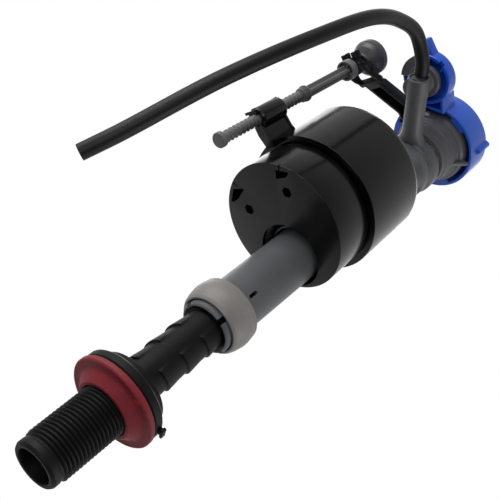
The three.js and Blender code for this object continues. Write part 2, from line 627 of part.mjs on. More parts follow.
function floatLower() {
  const f = FLOAT;
  const shell = floatTurned([
    [0, f.lowerBottom], [f.lowerR - 0.6, f.lowerBottom], [f.lowerR, f.lowerBottom + 0.6],
    [f.lowerTopR, f.lowerTop], [f.neckR, f.lowerTop], [f.neckR, f.neckTop],
    [f.neckR - f.wall, f.neckTop], [f.neckR - f.wall, f.lowerTop - f.wall],
    [f.lowerTopR - f.wall, f.lowerTop - f.wall], [f.lowerR - f.wall, f.lowerBottom + f.wall],
    [0, f.lowerBottom + f.wall],
  ]);
  const envelope = floatTurned([
    [0, f.lowerBottom], [f.lowerR - 0.6, f.lowerBottom], [f.lowerR, f.lowerBottom + 0.6],
    [f.lowerTopR, f.lowerTop], [0, f.lowerTop],
  ]);
  const sleeve = disc(f.holeR + f.wall, f.lowerBottom, f.lowerTop, ROUND).intersect(envelope);
  const dimples = [-1, 1].map((side) => {
    const { x, y } = floatPoint(f.dimple[0], side * f.dimple[1]);
    return post(x, y, 2.65, f.lowerBottom - 1, f.lowerBottom + 1);
  });
  const drains = [-1, 1].map((side) => {
    const { x, y } = floatPoint(f.drain[0], side * f.drain[1]);
    return shiftedBlock(x, y, 4.6, 2.4, f.lowerBottom - 1, f.lowerBottom + 4);
  });
  return cut(join(shell, sleeve), riserHole(f.lowerBottom - 1, f.neckTop + 1), ...dimples, ...drains);
}

// A box of a given length and width, turned to the float's axes, about (x, y).
function shiftedBlock(x, y, length, width, bottom, top) {
  const geometry = new THREE.BoxGeometry(length, width, top - bottom);
  geometry.rotateZ(THREE.MathUtils.degToRad(FLOAT.axisDeg + 40 * Math.sign(y)));
  return solid(geometry.translate(x, y, (bottom + top) / 2));
}

function floatUpper() {
  const f = FLOAT;
  const fillet = [0, 30, 60, 90].map((deg) => {
    const { x, y } = polar(f.filletR, deg);
    return [f.upperTopR - f.filletR + x, f.upperTop - f.filletR + y];
  });
  const inner = f.neckR + 0.4;
  const shell = floatTurned([
    ...[[inner, f.upperBottom], [f.upperBottomR - 0.6, f.upperBottom]],
    [f.upperBottomR, f.upperBottom + 0.6], ...fillet, [0, f.upperTop], [0, f.upperTop - f.wall],
    [f.upperTopR - f.filletR, f.upperTop - f.wall],
    [f.upperTopR - f.wall, f.upperTop - f.filletR], [f.upperBottomR - f.wall, f.upperBottom + 3.6],
    [inner, f.upperBottom + 3.6],
  ]);
  const sleeve = disc(f.holeR + f.wall, f.upperBottom + 3.2, f.upperTop, ROUND)
    .intersect(floatTurned([
      [0, f.upperBottom], [f.upperBottomR - 0.5, f.upperBottom],
      [f.upperTopR - 0.5, f.upperTop - f.filletR], [f.upperTopR - f.filletR, f.upperTop - 0.5],
      [0, f.upperTop - 0.5],
    ]));
  return cut(join(shell, sleeve, bracket()), riserHole(f.upperBottom - 1, f.upperTop + 1), nutBore());
}

// A round boss for the rod's nut, an outer plate that shields it and the web to the float.
function bracket() {
  const b = BRACKET;
  const rootX = FLOAT.x + FLOAT.upperBottomR - 3;
  const boss = leanedSolid(disc(b.bossR, b.bossBottom, b.bossTop, 16));
  const plate = block(b.outX - 1.4, b.outX, -4.6, 1.5, b.bottom, b.top);
  const web = plateXZ([
    [rootX, b.bottom + 7.2], [rootX + 3.6, b.bottom + 5], [rootX + 5.5, b.bottom + 1.2],
    [rootX + 9, b.bottom], [b.outX - 0.7, b.bottom], [b.outX - 0.7, b.top], [rootX + 11, b.top],
    [rootX + 5, b.top + 0.6], [rootX, b.top + 2.6],
  ], b.webHalfY);
  return join(boss, plate, web);
}

const nutBore = () => leanedSolid(disc(BRACKET.boreR, 12, 50, SMALL));

// A solid drawn in the rod's own frame, moved into the valve's frame.
function leanedSolid(body) {
  leaned.updateMatrix();
  return solid(surface(body).applyMatrix4(leaned.matrix));
}

// ---------------------------------------------------------------- assembly
const valve = new THREE.Group();
valve.position.z = -CAP.top;
valve.add(
  piece('shank_tube', BLACK, shankTube()),
  piece('shank_washer', RED_RUBBER, shankWasher()),
  piece('lock_ring', PALE_GREY, lockRing()),
  piece('riser_tube', GREY, riserTube()),
  piece('supply_tube', GREY, supplyTube()),
  piece('supply_seal', BLACK_RUBBER, supplySeal()),
  piece('neck_seal', BLACK_RUBBER, neckSeal()),
  piece('outlet_manifold', GREY, outletManifold()),
  piece('valve_body', GREY, valveBody()),
  piece('water_seal', BLACK_RUBBER, waterSeal()),
  piece('seal_retainer', GREY, sealRetainer()),
  piece('plunger', GREY, plunger()),
  piece('float_lever', BLACK, floatLever()),
  piece('lever_pin', GREY, leverPin()),
  piece('cap', BLUE, cap()),
  piece('adjuster_spindle', GREY, adjusterSpindle()),
  piece('spindle_seal', BLACK_RUBBER, spindleSeal()),
  piece('refill_hose', BLACK_RUBBER, refillHose()),
  piece('float_lower', GLOSS_BLACK, floatLower()),
  piece('float_upper', GLOSS_BLACK, floatUpper()),
);

const adjuster = new THREE.Group();
const adjusterAt = polar(ADJUSTER.radius, ADJUSTER.azimuth);
adjuster.position.set(adjusterAt.x, adjusterAt.y, 0);
adjuster.rotation.z = THREE.MathUtils.degToRad(OUTLET.azimuth);
adjuster.add(piece('adjuster_knob', BLUE, adjusterKnob()));

leaned.add(
  piece('adjustment_rod', PALE_GREY, adjustmentRod()),
  piece('rod_clip', BLACK, rodClip()),
);
valve.add(adjuster, leaned);

export default valve;
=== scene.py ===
import math

import bmesh
import bpy
from mathutils import Matrix, Vector


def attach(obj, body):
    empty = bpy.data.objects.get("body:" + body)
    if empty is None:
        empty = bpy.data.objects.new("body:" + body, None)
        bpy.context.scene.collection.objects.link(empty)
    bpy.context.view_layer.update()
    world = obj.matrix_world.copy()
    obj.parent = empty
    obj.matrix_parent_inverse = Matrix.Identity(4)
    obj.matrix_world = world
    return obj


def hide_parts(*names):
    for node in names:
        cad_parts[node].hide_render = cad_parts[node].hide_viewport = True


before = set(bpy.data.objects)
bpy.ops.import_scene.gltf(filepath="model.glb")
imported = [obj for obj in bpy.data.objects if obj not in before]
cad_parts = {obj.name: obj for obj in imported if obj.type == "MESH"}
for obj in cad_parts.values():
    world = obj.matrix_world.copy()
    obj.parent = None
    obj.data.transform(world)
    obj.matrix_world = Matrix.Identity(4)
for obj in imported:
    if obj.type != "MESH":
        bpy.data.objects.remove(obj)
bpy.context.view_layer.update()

MM = 0.001
TOP = 249.0  # height of the cap's flat top above the tank seat
FINE = 96  # facets round a large turned piece
SMALL = 40  # facets round a small turned piece
CREASE = 32  # degrees between faces past which an edge stays sharp

# -------- dimensions
SHANK = dict(end=-41, thread=(-36.2, -4.5), major=11.1, root=10.0, pitch=1.814, pilot=10.4,
             bore=7.9, flange=20, flange_top=4.6, step=16.2, step_top=8.4, lug_at=139)
# Two gaps run down through the ridges. crest is a ridge's height at azimuth 0, less whole pitches.
TUBE = dict(top=170, core=9.0, ridge=9.9, bore=6.6, pitch=12.0, crest=2.2, gaps=(20, 200), gap_sweep=61)
RISER = dict(bottom=50, top=201, out=12.3, inner=10.4, flange=14.7, flange_top=205,
             slits=(78, 168, 258, 348), slit_half=1.35, slit_length=13, window_at=77, window=(69.2, 74))
OUTLET = dict(azimuth=33, pipe_z=209.3, pipe=5.1, pipe_end=49.6, nipple=2.3, nipple_end=57, rise=1.4)
# hang holds points of the hose's centre line past the nipple, and step is the spacing of its rings.
HOSE = dict(out=3.45, bore=2.6, edge=0.2, step=2.5, hang=(
    (62, 36, 208), (72, 40, 195), (80, 45, 172), (85, 44, 134), (88, 31, 88), (87, 10, 50), (87, 0, 36)))
ADJUST = dict(radius=44.2, azimuth=31.5)
BAYONET = (70, 190, 310)  # azimuths of the three tabs that hold the cap
BOWL_RIBS = (128, 248)  # azimuths of the two ribs on the bowl's flank
CAP = dict(bottom=232.5, out=23.6, inner=21.9, roof=246.4, ear_at=116)
PIVOT = (10.5, 227)  # x and z of the lever's pin
LEVER = dict(elbow=(25, 225.6), half_width=4.4, half_height=2.7, wall=1.4, crotch=13, pin_hole=1.5,
             slot_r=1.75, slot_length=4.6)
# The rod's own axis starts at the foot and leans towards the valve. clip is a height along it.
ROD = dict(foot_x=62.7, foot_z=100.4, lean=2.7, clip=101, root=2.05, crest=2.8, pitch=2.6,
           thread=(3.3, 57))
# The float's centre is off the valve's axis. axis is the azimuth of its long direction.
FLOAT = dict(x=15.9, y=4.3, axis=-6, hole=13.4, bottom=108.9, low_out=31, seam=131.4, high_out=33.6,
             top=171)


# -------- mesh helpers
def rad(deg):
    return deg * math.pi / 180


def polar(radius, deg):
    return radius * math.cos(rad(deg)), radius * math.sin(rad(deg))


def smooth(value):
    value = min(1.0, max(0.0, value))
    return value * value * (3 - 2 * value)


def rounded(outline, closed=True, steps=4):
    """An outline of (x, y) or (x, y, fillet radius) points with its corners turned into arcs."""
    result = []
    count = len(outline)
    for i, point in enumerate(outline):
        radius = point[2] if len(point) > 2 else 0
        here = Vector(point[:2])
        if not radius or (not closed and i in (0, count - 1)):
            result.append(tuple(here))
            continue
        back = Vector(outline[i - 1][:2]) - here
        ahead = Vector(outline[(i + 1) % count][:2]) - here
        half = back.angle(ahead) / 2
        reach = min(radius / math.tan(half), back.length * 0.49, ahead.length * 0.49)
        arc = reach * math.tan(half)
        middle = here + (back.normalized() + ahead.normalized()).normalized() * (arc / math.sin(half))
        start = here + back.normalized() * reach - middle
        end = here + ahead.normalized() * reach - middle
        sweep = start.angle_signed(end)
        for step in range(steps + 1):
            spin = Matrix.Rotation(-sweep * step / steps, 2)
            result.append(tuple(middle + spin @ start))
    return result


def clean(bm, gap, sliver):
    """Joins vertices nearer than gap and takes out faces thinner than sliver."""
    bmesh.ops.remove_doubles(bm, verts=bm.verts, dist=gap)
    bmesh.ops.dissolve_degenerate(bm, edges=bm.edges, dist=sliver)


def finish_mesh(bm, name):
    """Cleans a bmesh, makes an object of it with smooth faces and sharp edges past an angle."""
    clean(bm, 0.0005, 0.0001)
    bmesh.ops.recalc_face_normals(bm, faces=bm.faces)
    data = bpy.data.meshes.new(name)
    bm.to_mesh(data)
    bm.free()
    obj = bpy.data.objects.new(name, data)
    bpy.context.scene.collection.objects.link(obj)
    soften(obj)
    return obj


def soften(obj, crease=CREASE):
    data = obj.data
    data.polygons.foreach_set("use_smooth", [True] * len(data.polygons))
    data.set_sharp_from_angle(angle=rad(crease))


def skin(bm, rows):
    """Faces between each row of vertices and the next. A row of one vertex is a pole."""
    for low, high in zip(rows, rows[1:]):
        count = max(len(low), len(high))
        for i in range(count):
            j = (i + 1) % count
            quad = [low[i % len(low)], low[j % len(low)], high[j % len(high)], high[i % len(high)]]
            corners = list(dict.fromkeys(quad))
            if len(corners) > 2:
                bm.faces.new(corners)


def from_rings(name, rings, wrap=False):
    """A skin over rings of points, closed at its two ends or, with wrap, joined end to end."""
    bm = bmesh.new()
    rows = [[bm.verts.new(p) for p in ring] for ring in rings]
    skin(bm, rows + rows[:1] if wrap else rows)
    if not wrap:
        for row in (rows[0], rows[-1]):
            if len(row) > 2:
                bm.faces.new(row)
    return finish_mesh(bm, name)


def level_ring(r, z, segments, centre=(0, 0)):
    """A level ring of points, or a single point where the radius is 0."""
    if r == 0:
        return [(*centre, z)]
    corners = [polar(r, 360 * i / segments) for i in range(segments)]
    return [(centre[0] + x, centre[1] + y, z) for x, y in corners]


def revolve(name, profile, segments=FINE, centre=(0, 0)):
    """A closed or pole-to-pole profile of (r, z) points, turned about a vertical axis."""
    poles = profile[0][0] == 0 and profile[-1][0] == 0
    rings = [level_ring(r, z, segments, centre) for r, z in profile]
    return from_rings(name, rings, wrap=not poles)


def prism(name, outline, low, high, plane="XY", bevel=0.0):
    """An outline in the XY or XZ plane, pulled from low to high along the axis the plane leaves out."""
    def place(u, v, w):
        return (u, v, w) if plane == "XY" else (u, w, v)
    bm = bmesh.new()
    bottom = [bm.verts.new(place(u, v, low)) for u, v in outline]
    top = [bm.verts.new(place(u, v, high)) for u, v in outline]
    bm.faces.new(bottom)
    bm.faces.new(top)
    for i in range(len(outline)):
        j = (i + 1) % len(outline)
        bm.faces.new((bottom[i], bottom[j], top[j], top[i]))
    obj = finish_mesh(bm, name)
    if bevel:
        round_edges(obj, bevel)
    return obj


def box(name, x, y, z, bevel=0.0):
    """A box from three (low, high) spans."""
    return prism(name, [(x[0], y[0]), (x[1], y[0]), (x[1], y[1]), (x[0], y[1])], *z, bevel=bevel)


def round_edges(obj, width):
    """Rounds every edge that turns by more than 35 degrees."""
    bevel = obj.modifiers.new("bevel", "BEVEL")
    bevel.width = width
    bevel.segments = 3
    bevel.limit_method = "ANGLE"
    bevel.angle_limit = rad(35)
    bevel.miter_outer = "MITER_ARC"
    bake(obj)
    soften(obj, 40)


def bake(obj):
    """Applies the object's modifiers and its transform to its mesh."""
    graph = bpy.context.evaluated_depsgraph_get()
    data = bpy.data.meshes.new_from_object(obj.evaluated_get(graph), depsgraph=graph)
    obj.modifiers.clear()
    obj.data = data
    data.transform(obj.matrix_world)
    obj.matrix_world = Matrix.Identity(4)


def combine(operation, obj, others, crease):
    for other in others:
        step = obj.modifiers.new(operation.lower(), "BOOLEAN")
        step.operation = operation
        step.object = other
        step.solver = "EXACT"
    bake(obj)
    weld(obj)
    for other in others:
        bpy.data.objects.remove(other)
    soften(obj, crease)
    return obj


def weld(obj):
    """Closes the hairline cracks that a cut can leave."""
    bm = bmesh.new()
    bm.from_mesh(obj.data)
    clean(bm, 0.0008, 0.0002)
    bm.to_mesh(obj.data)
    bm.free()


def carve(obj, *others):
    return combine("DIFFERENCE", obj, others, CREASE)


def merge(obj, *others, crease=CREASE):
    return combine("UNION", obj, others, crease)


def gather(obj, *others):
    """One object from several overlapping shells that share a material."""
    bm = bmesh.new()
    for part in (obj, *others):
        bm.from_mesh(part.data)
    bm.to_mesh(obj.data)
    bm.free()
    for other in others:
        bpy.data.objects.remove(other)
    return obj


def turn(obj, deg):
    """Turns a piece about the valve's axis."""
    obj.data.transform(Matrix.Rotation(rad(deg), 4, "Z"))
    return obj


def set_down(obj, x, y, deg):
    """Turns a piece about its own upright axis and moves that axis to a place."""
    obj.data.transform(Matrix.Translation((x, y, 0)) @ Matrix.Rotation(rad(deg), 4, "Z"))
    return obj


def lay(obj, deg, z):
    """Lays a piece drawn upright along the direction deg, at a height."""
    obj.data.transform(Matrix.Translation((0, 0, z)) @ Matrix.Rotation(rad(deg), 4, "Z")
                       @ Matrix.Rotation(rad(90), 4, "Y"))
    return obj


def lay_across(obj, x, z):
    """Lays a piece drawn upright across the valve, parallel to the Y axis."""
    obj.data.transform(Matrix.Translation((x, 0, z)) @ Matrix.Rotation(rad(90), 4, "X"))
    return obj


def cylinder(name, start, end, r, segments=SMALL, centre=(0, 0)):
    return revolve(name, [(0, start), (r, start), (r, end), (0, end)], segments, centre)


def bar(name, start, end, r, deg, z, segments=SMALL):
    """A round bar along the direction deg, from start to end out from the valve's axis."""
    return lay(cylinder(name, start, end, r, segments), deg, z)


def cross_pin(name, x, z, r):
    """A round cutter from side to side, parallel to the Y axis."""
    return lay_across(cylinder(name, -10, 10, r, 24), x, z)


def sector(name, out, inner, a0, a1, low, high, centre=(0, 0), steps=24, bevel=0.0):
    """A slice of a ring, or of a disc where inner is 0, between two azimuths and two heights."""
    def arc(r):
        points = [polar(r, a0 + (a1 - a0) * i / steps) for i in range(steps + 1)]
        return [(centre[0] + x, centre[1] + y) for x, y in points]
    inside = arc(inner)[::-1] if inner else [centre]
    return prism(name, arc(out) + inside, low, high, bevel=bevel)


def lean(obj):
    """Moves a piece drawn upright on the rod's own axis into place."""
    obj.data.transform(Matrix.Translation((ROD["foot_x"], 0, ROD["foot_z"]))
                       @ Matrix.Rotation(-rad(ROD["lean"]), 4, "Y"))
    return obj


def on_rod(height):
    """x and z of a point that far up the rod's axis."""
    return (ROD["foot_x"] - height * math.sin(rad(ROD["lean"])),
            ROD["foot_z"] + height * math.cos(rad(ROD["lean"])))


def float_point(along, across):
    """x and y of a point given from the float's centre, along and across its long direction."""
    x, y = Matrix.Rotation(rad(FLOAT["axis"]), 2) @ Vector((along, across))
    return FLOAT["x"] + x, FLOAT["y"] + y


def hand_over(obj, material, node, body):
    """Puts a finished piece into metres, in the row frame, on its body and in place of its node."""
    obj.data.transform(Matrix.Scale(MM, 4) @ Matrix.Translation((0, 0, -TOP)))
    obj.data.materials.clear()
    obj.data.materials.append(material)
    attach(obj, body)
    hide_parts(node)


# -------- screw surfaces
def helical(bm, span, pitch, teeth, columns, offset=0.0, mask=None, fade=0.0):
    """Rows that climb one pitch a turn between two heights. teeth are (share of the pitch, radius),
    mask(deg) is how much of a tooth stands at an azimuth, and fade is the run-out at the two ends."""
    low, high = span
    root = min(radius for _, radius in teeth)
    per = len(teeth)
    base = offset + (math.floor((low - offset) / pitch) - 1) * pitch
    turns = math.ceil((high - base) / pitch) + 2
    grid = []
    for column in range(columns):
        deg = 360 * column / columns
        line = []
        for row in range(turns * per):
            share, radius = teeth[row % per]
            z = base + pitch * (row // per + share + column / columns)
            standing = mask(deg) if mask else 1.0
            if fade:
                standing *= smooth((z - low) / fade) * smooth((high - z) / fade)
            radius = root + (radius - root) * standing
            if z <= low or z >= high:
                radius = root
            line.append(bm.verts.new((*polar(radius, deg), min(high, max(low, z)))))
        grid.append(line)
    for column in range(columns):
        last = column == columns - 1
        near, far, shift = grid[column], grid[(column + 1) % columns], per if last else 0
        for row in range(turns * per - 1 - shift):
            bm.faces.new((near[row], far[row + shift], far[row + shift + 1], near[row + 1]))


def turned_rows(bm, profile, columns):
    """An open profile of (r, z) points turned into a skin inside an existing bmesh."""
    skin(bm, [[bm.verts.new(p) for p in level_ring(r, z, columns)] for r, z in profile])


# -------- materials
class Nodes:
    """A small helper that adds and links shader nodes."""

    def __init__(self, name):
        self.material = bpy.data.materials.new(name)
        self.material.use_nodes = True
        self.tree = self.material.node_tree
        self.shader = self.tree.nodes["Principled BSDF"]

    def add(self, kind, inputs=(), **settings):
        node = self.tree.nodes.new("ShaderNode" + kind)
        for key, value in settings.items():
            setattr(node, key, value)
        for key, value in dict(inputs).items():
            if isinstance(value, bpy.types.NodeSocket):
                self.tree.links.new(value, node.inputs[key])
            else:
                node.inputs[key].default_value = value
        return node

    def link(self, output, name):
        self.tree.links.new(output, self.shader.inputs[name])

    def base_colour(self):
        return self.shader.inputs["Base Color"].links[0].from_socket

    def millimetres(self, stretch=(1, 1, 1)):
        """Places on the piece in millimetres. A stretch below 1 draws a pattern out along its axis."""
        coordinates = self.add("TexCoord").outputs["Object"]
        scale = tuple(s / MM for s in stretch)
        return self.add("Mapping", {"Vector": coordinates, "Scale": scale}).outputs["Vector"]

    def noise(self, scale, detail=3.0, rough=0.55, stretch=(1, 1, 1)):
        return self.add("TexNoise", {"Vector": self.millimetres(stretch), "Scale": scale,
                                     "Detail": detail, "Roughness": rough}).outputs["Fac"]

    def remap(self, value, low, high, to_low=0.0, to_high=1.0):
        return self.add("MapRange", {"Value": value, "From Min": low, "From Max": high,
                                     "To Min": to_low, "To Max": to_high}).outputs["Result"]

    def mix(self, factor, first, second):
        node = self.add("Mix", {0: factor}, data_type="RGBA")
        for index, colour in ((6, first), (7, second)):
            if isinstance(colour, bpy.types.NodeSocket):
                self.tree.links.new(colour, node.inputs[index])
            else:
                node.inputs[index].default_value = (*colour, 1)
        return node.outputs[2]

    def maths(self, operation, first, second=0.0, clamp=False):
        node = self.add("Math", {0: first, 1: second}, operation=operation)
        node.use_clamp = clamp
        return node.outputs[0]

    def edges(self, radius):
        """1 along outer and inner edges, 0 on open faces."""
        bevel = self.add("Bevel", {"Radius": radius * MM}, samples=4).outputs["Normal"]
        normal = self.add("NewGeometry").outputs["Normal"]
        dot = self.add("VectorMath", {0: bevel, 1: normal}, operation="DOT_PRODUCT").outputs["Value"]
        return self.remap(dot, 0.995, 0.9)

    def bump(self, height, strength, depth, normal=None):
        inputs = {"Height": height, "Strength": strength, "Distance": depth * MM}
        if normal is not None:
            inputs["Normal"] = normal
        return self.add("Bump", inputs).outputs["Normal"]


def shade(colour, factor):
    return tuple(min(1.0, c * factor) for c in colour)


def srgb(red, green, blue):
    def linear(c):
        c /= 255
        return c / 12.92 if c <= 0.04045 else ((c + 0.055) / 1.055) ** 2.4
    return linear(red), linear(green), linear(blue)


def moulded(name, colour, rough=0.45, grain=0.4, flow=0.3, wear=0.35, specular=0.5, coat=0.0,
            dust=0.12):
    """Injection-moulded plastic: cloudy colour, flow lines, fine grain, rubbed edges and dust."""
    mottle = 0.08
    n = Nodes(name)
    cloud = n.noise(0.09, 4.0)
    fine = n.noise(5.0, 5.0, 0.65)
    lines = n.noise(1.1, 3.0, 0.5, stretch=(1, 1, 0.12))
    base = n.mix(cloud, shade(colour, 1 - mottle), shade(colour, 1 + mottle))
    rubbed = n.maths("MULTIPLY", n.edges(0.35), n.remap(fine, 0.35, 0.65, 0.2 * wear, wear))
    base = n.mix(rubbed, base, shade(tuple(c + 0.02 for c in colour), 1.8))
    speck = n.maths("MULTIPLY", n.remap(n.noise(2.3, 6.0, 0.75), 0.6, 0.78), dust, clamp=True)
    base = n.mix(speck, base, tuple(0.5 * c + 0.09 for c in colour))
    n.link(base, "Base Color")
    uneven = n.maths("ADD", n.remap(cloud, 0.3, 0.7, -0.05, 0.05), n.remap(fine, 0.3, 0.7, -0.04, 0.05))
    uneven = n.maths("ADD", uneven, n.maths("MULTIPLY", n.maths("ADD", speck, rubbed), 0.5))
    n.link(n.maths("ADD", uneven, rough, clamp=True), "Roughness")
    normal = n.bump(fine, grain, 0.02)
    n.link(n.bump(lines, flow, 0.05, normal), "Normal")
    n.shader.inputs["Specular IOR Level"].default_value = specular
    n.shader.inputs["Coat Weight"].default_value = coat
    n.shader.inputs["Coat Roughness"].default_value = 0.12
    return n


def rubber(name, colour, rough=0.7, bloom=0.15):
    """Soft rubber: a dusty bloom, a coarse skin and slightly paler worn edges."""
    n = Nodes(name)
    cloud = n.noise(0.25, 5.0, 0.65)
    fine = n.noise(3.5, 6.0, 0.7)
    base = n.mix(n.remap(cloud, 0.35, 0.7), shade(colour, 0.88), shade(colour, 1.12))
    dusty = n.maths("MULTIPLY", n.remap(fine, 0.5, 0.75), bloom, clamp=True)
    base = n.mix(dusty, base, tuple(0.6 * c + 0.12 for c in colour))
    base = n.mix(n.maths("MULTIPLY", n.edges(0.5), 0.25), base, shade(colour, 1.5))
    n.link(base, "Base Color")
    n.link(n.remap(fine, 0.3, 0.7, rough - 0.08, rough + 0.1), "Roughness")
    n.link(n.bump(fine, 0.5, 0.04, n.bump(cloud, 0.3, 0.15)), "Normal")
    n.shader.inputs["Specular IOR Level"].default_value = 0.35
    return n


def washer_rubber():
    """The washer's dull red rubber, with one small brighter dot on its underside."""
    dot_out, dot_azimuth, dot_z, dot_r = 18.5, 86, -3.1, 1.7
    n = rubber("washer_rubber", srgb(130, 33, 43), 0.6)
    centre = tuple(MM * v for v in (*polar(dot_out, dot_azimuth), dot_z - TOP))
    away = n.add("VectorMath", {0: n.add("TexCoord").outputs["Object"], 1: centre},
                 operation="DISTANCE").outputs["Value"]
    inside = n.remap(away, dot_r * MM, (dot_r - 0.7) * MM)
    n.link(n.mix(inside, n.base_colour(), srgb(190, 40, 48)), "Base Color")
    return n.material


def rod_plastic():
    """The rod's pale grey plastic, with painted shade that darkens the knob, where the thick translucent
    plastic is dark inside.
    """
    knob_shade_from, knob_shade_full = -45, -42  # heights below the cap's top where the knob's painted shade begins and where it is full
    n = moulded("rod_plastic", srgb(104, 103, 104), 0.42, flow=0.25)
    height = n.add("SeparateXYZ", {0: n.millimetres()}).outputs["Z"]
    # Painted shade: the knob is mixed to a darker grey, standing in for the dark inside of its thick
    # translucent plastic.
    n.link(n.mix(n.remap(height, knob_shade_from, knob_shade_full), n.base_colour(), srgb(68, 68, 71)), "Base Color")
    return n.material


def float_plastic(name):
    """The floats' smooth, glossy black plastic."""
    return moulded(name, srgb(8, 8, 9), 0.22, grain=0.12, flow=0.12, coat=0.1, wear=0.03,
                   specular=0.36, dust=0.03).material


def lever_plastic(name):
    """The satin black plastic of the lever and the rod's clip."""
    return moulded(name, srgb(11, 11, 12), 0.5, wear=0.1, specular=0.3, dust=0.04).material


def make_materials():
    return dict(
        shank=moulded("shank_plastic", srgb(11, 11, 12), 0.55, wear=0.1, specular=0.22, dust=0.04).material,
        washer=washer_rubber(),
        riser=moulded("riser_plastic", srgb(90, 91, 94), 0.42, flow=0.5).material,
        ring=moulded("ring_plastic", srgb(134, 130, 127), 0.48, flow=0.35).material,
        manifold=moulded("manifold_plastic", srgb(86, 86, 89), 0.45).material,
        bowl=moulded("bowl_plastic", srgb(90, 90, 93), 0.45).material,
        cap=moulded("cap_plastic", srgb(38, 92, 202), 0.36, flow=0.2, coat=0.15).material,
        dial=moulded("dial_plastic", srgb(8, 78, 200), 0.38, flow=0.2, coat=0.15).material,
        lever=lever_plastic("lever_plastic"),
        clip=lever_plastic("clip_plastic"),
        rod=rod_plastic(),
        float_low=float_plastic("float_lower_plastic"),
        float_high=float_plastic("float_upper_plastic"),
        hose=rubber("hose_rubber", srgb(10, 10, 11), 0.5, bloom=0.03).material,
        seal=rubber("seal_rubber", srgb(18, 18, 18), 0.7).material,
        inner=moulded("inner_plastic", srgb(104, 103, 106), 0.5).material,
    )


# -------- shank and washer
def between_gaps(deg):
    """How much of a ridge stands at an azimuth: 1 between the gaps, 0 in them, eased at their edges."""
    ease = 4.0
    standing = 1.0
    for start in TUBE["gaps"]:
        along = (deg - start) % 360
        if along < TUBE["gap_sweep"]:
            standing = min(standing, 1 - smooth(min(along, TUBE["gap_sweep"] - along) / ease))
    return standing


def shank_tube():
    """The threaded shank, its flange and the ridged tube, as one skin turned row by row."""
    s, t = SHANK, TUBE
    bm = bmesh.new()
    low, high = s["thread"]
    depth = s["major"] - s["root"]
    teeth = [(0.0, s["root"]), (0.1, s["root"]), (0.38, s["root"] + 0.93 * depth), (0.44, s["major"]),
             (0.54, s["major"]), (0.6, s["root"] + 0.93 * depth), (0.9, s["root"])]
    helical(bm, s["thread"], s["pitch"], teeth, FINE, fade=1.4)
    ridge = [(0.0, t["core"]), (0.004, t["core"] + 0.1), (0.03, t["ridge"] - 0.05), (0.05, t["ridge"]),
             (0.075, t["ridge"] - 0.02), (0.3, t["core"] + 0.6), (0.62, t["core"] + 0.18),
             (0.9, t["core"])]
    first, last = s["step_top"] + 0.9, t["top"] - 0.8
    helical(bm, (first, last), t["pitch"], ridge, FINE, offset=t["crest"] - 0.05 * t["pitch"],
            mask=between_gaps)
    outside = rounded([(s["root"], high), (s["root"], -0.9, 0.3), (s["root"] + 0.9, 0), (19.3, 0, 0.3),
                       (s["flange"], 0.7, 0.3), (s["flange"], s["flange_top"] - 0.9, 0.5),
                       (19.1, s["flange_top"], 0.4), (16.7, s["flange_top"], 0.3),
                       (s["step"], 5.1, 0.3), (s["step"], s["step_top"], 0.6),
                       (11.4, s["step_top"], 0.4), (10.9, s["step_top"] - 0.6, 0.3),
                       (t["core"], s["step_top"] - 0.4, 0.5), (t["core"], first)], closed=False)
    turned_rows(bm, outside, FINE)
    inside = rounded([(t["core"], last), (t["core"] - 0.6, t["top"], 0.2), (t["bore"], t["top"], 0.3),
                      (t["bore"], s["flange_top"] + 1.5), (s["bore"], s["flange_top"]),
                      (s["bore"], s["end"], 0.5), (9.6, s["end"], 0.5), (s["pilot"], s["end"] + 1.3, 0.5),
                      (s["pilot"], low - 1.2, 0.3), (s["root"], low - 0.3), (s["root"], low)],
                     closed=False)
    turned_rows(bm, inside, FINE)
    tube = finish_mesh(bm, "shank_tube_skin")
    lug = (1.2, 3.6)
    neck = turn(box("neck", (19.2, 21.4), (-1, 1), lug, 0.25), s["lug_at"])
    hand = turn(box("hand", (21.0, 22.3), (-2.4, 2.4), lug, 0.35), s["lug_at"])
    return gather(tube, neck, hand)


def shank_washer():
    return revolve("shank_washer_skin", rounded([
        (11.4, -0.3, 0.2), (11.4, -7.4, 0.4), (12.9, -7.4, 0.5), (16.6, -3.1, 2.5), (18.2, -3.0, 1.5),
        (19.9, -3.3, 0.6), (20.5, -2.6, 0.4), (20.5, -0.8, 0.3), (20.0, -0.3, 0.2)]))


# -------- riser and lock ring
def riser_tube():
    r = RISER
    low, top, out, inner = r["bottom"], r["top"], r["out"], r["inner"]
    grip = TUBE["ridge"] + 0.35
    half, slit_top = r["slit_half"], low + r["slit_length"]
    tube = revolve("riser_tube_skin", rounded([
        (grip, low + 1.6, 0.5), (grip + 0.7, low, 0.5), (out - 0.7, low, 0.5), (out, low + 0.9, 0.5),
        (out, 67.4, 0.2), (out - 0.12, 67.9, 0.1), (out - 0.12, top - 3.4, 0.6),
        (r["flange"], top - 1, 0.5), (r["flange"], r["flange_top"], 0.3), (inner, r["flange_top"], 0.3),
        (inner, slit_top), (grip, low + 9)]))
    slits = [turn(box("slit", (inner - 3, out + 1), (-half, half), (low - 1, slit_top)), deg)
             for deg in r["slits"]]
    ends = [bar("end", inner - 3, out + 1, half, deg, slit_top, 20) for deg in r["slits"]]
    window = turn(box("window", (inner - 2, out + 1), (-0.8, 0.8), r["window"]), r["window_at"])
    round_edges(window, 0.5)
    return carve(tube, *slits, *ends, window)


def lock_ring():
    return revolve("lock_ring_skin", rounded([
        (12.7, 53.1, 0.2), (13.0, 52.6, 0.2), (13.7, 52.6, 0.3), (14.5, 53.8, 0.6), (15.2, 56.0, 2),
        (15.8, 59.4, 3), (15.75, 61.6, 3), (15.35, 64.2, 0.1), (15.15, 64.4, 0.05), (15.3, 64.6, 0.1),
        (15.05, 66, 0.35), (12.7, 66, 0.3)], steps=6))


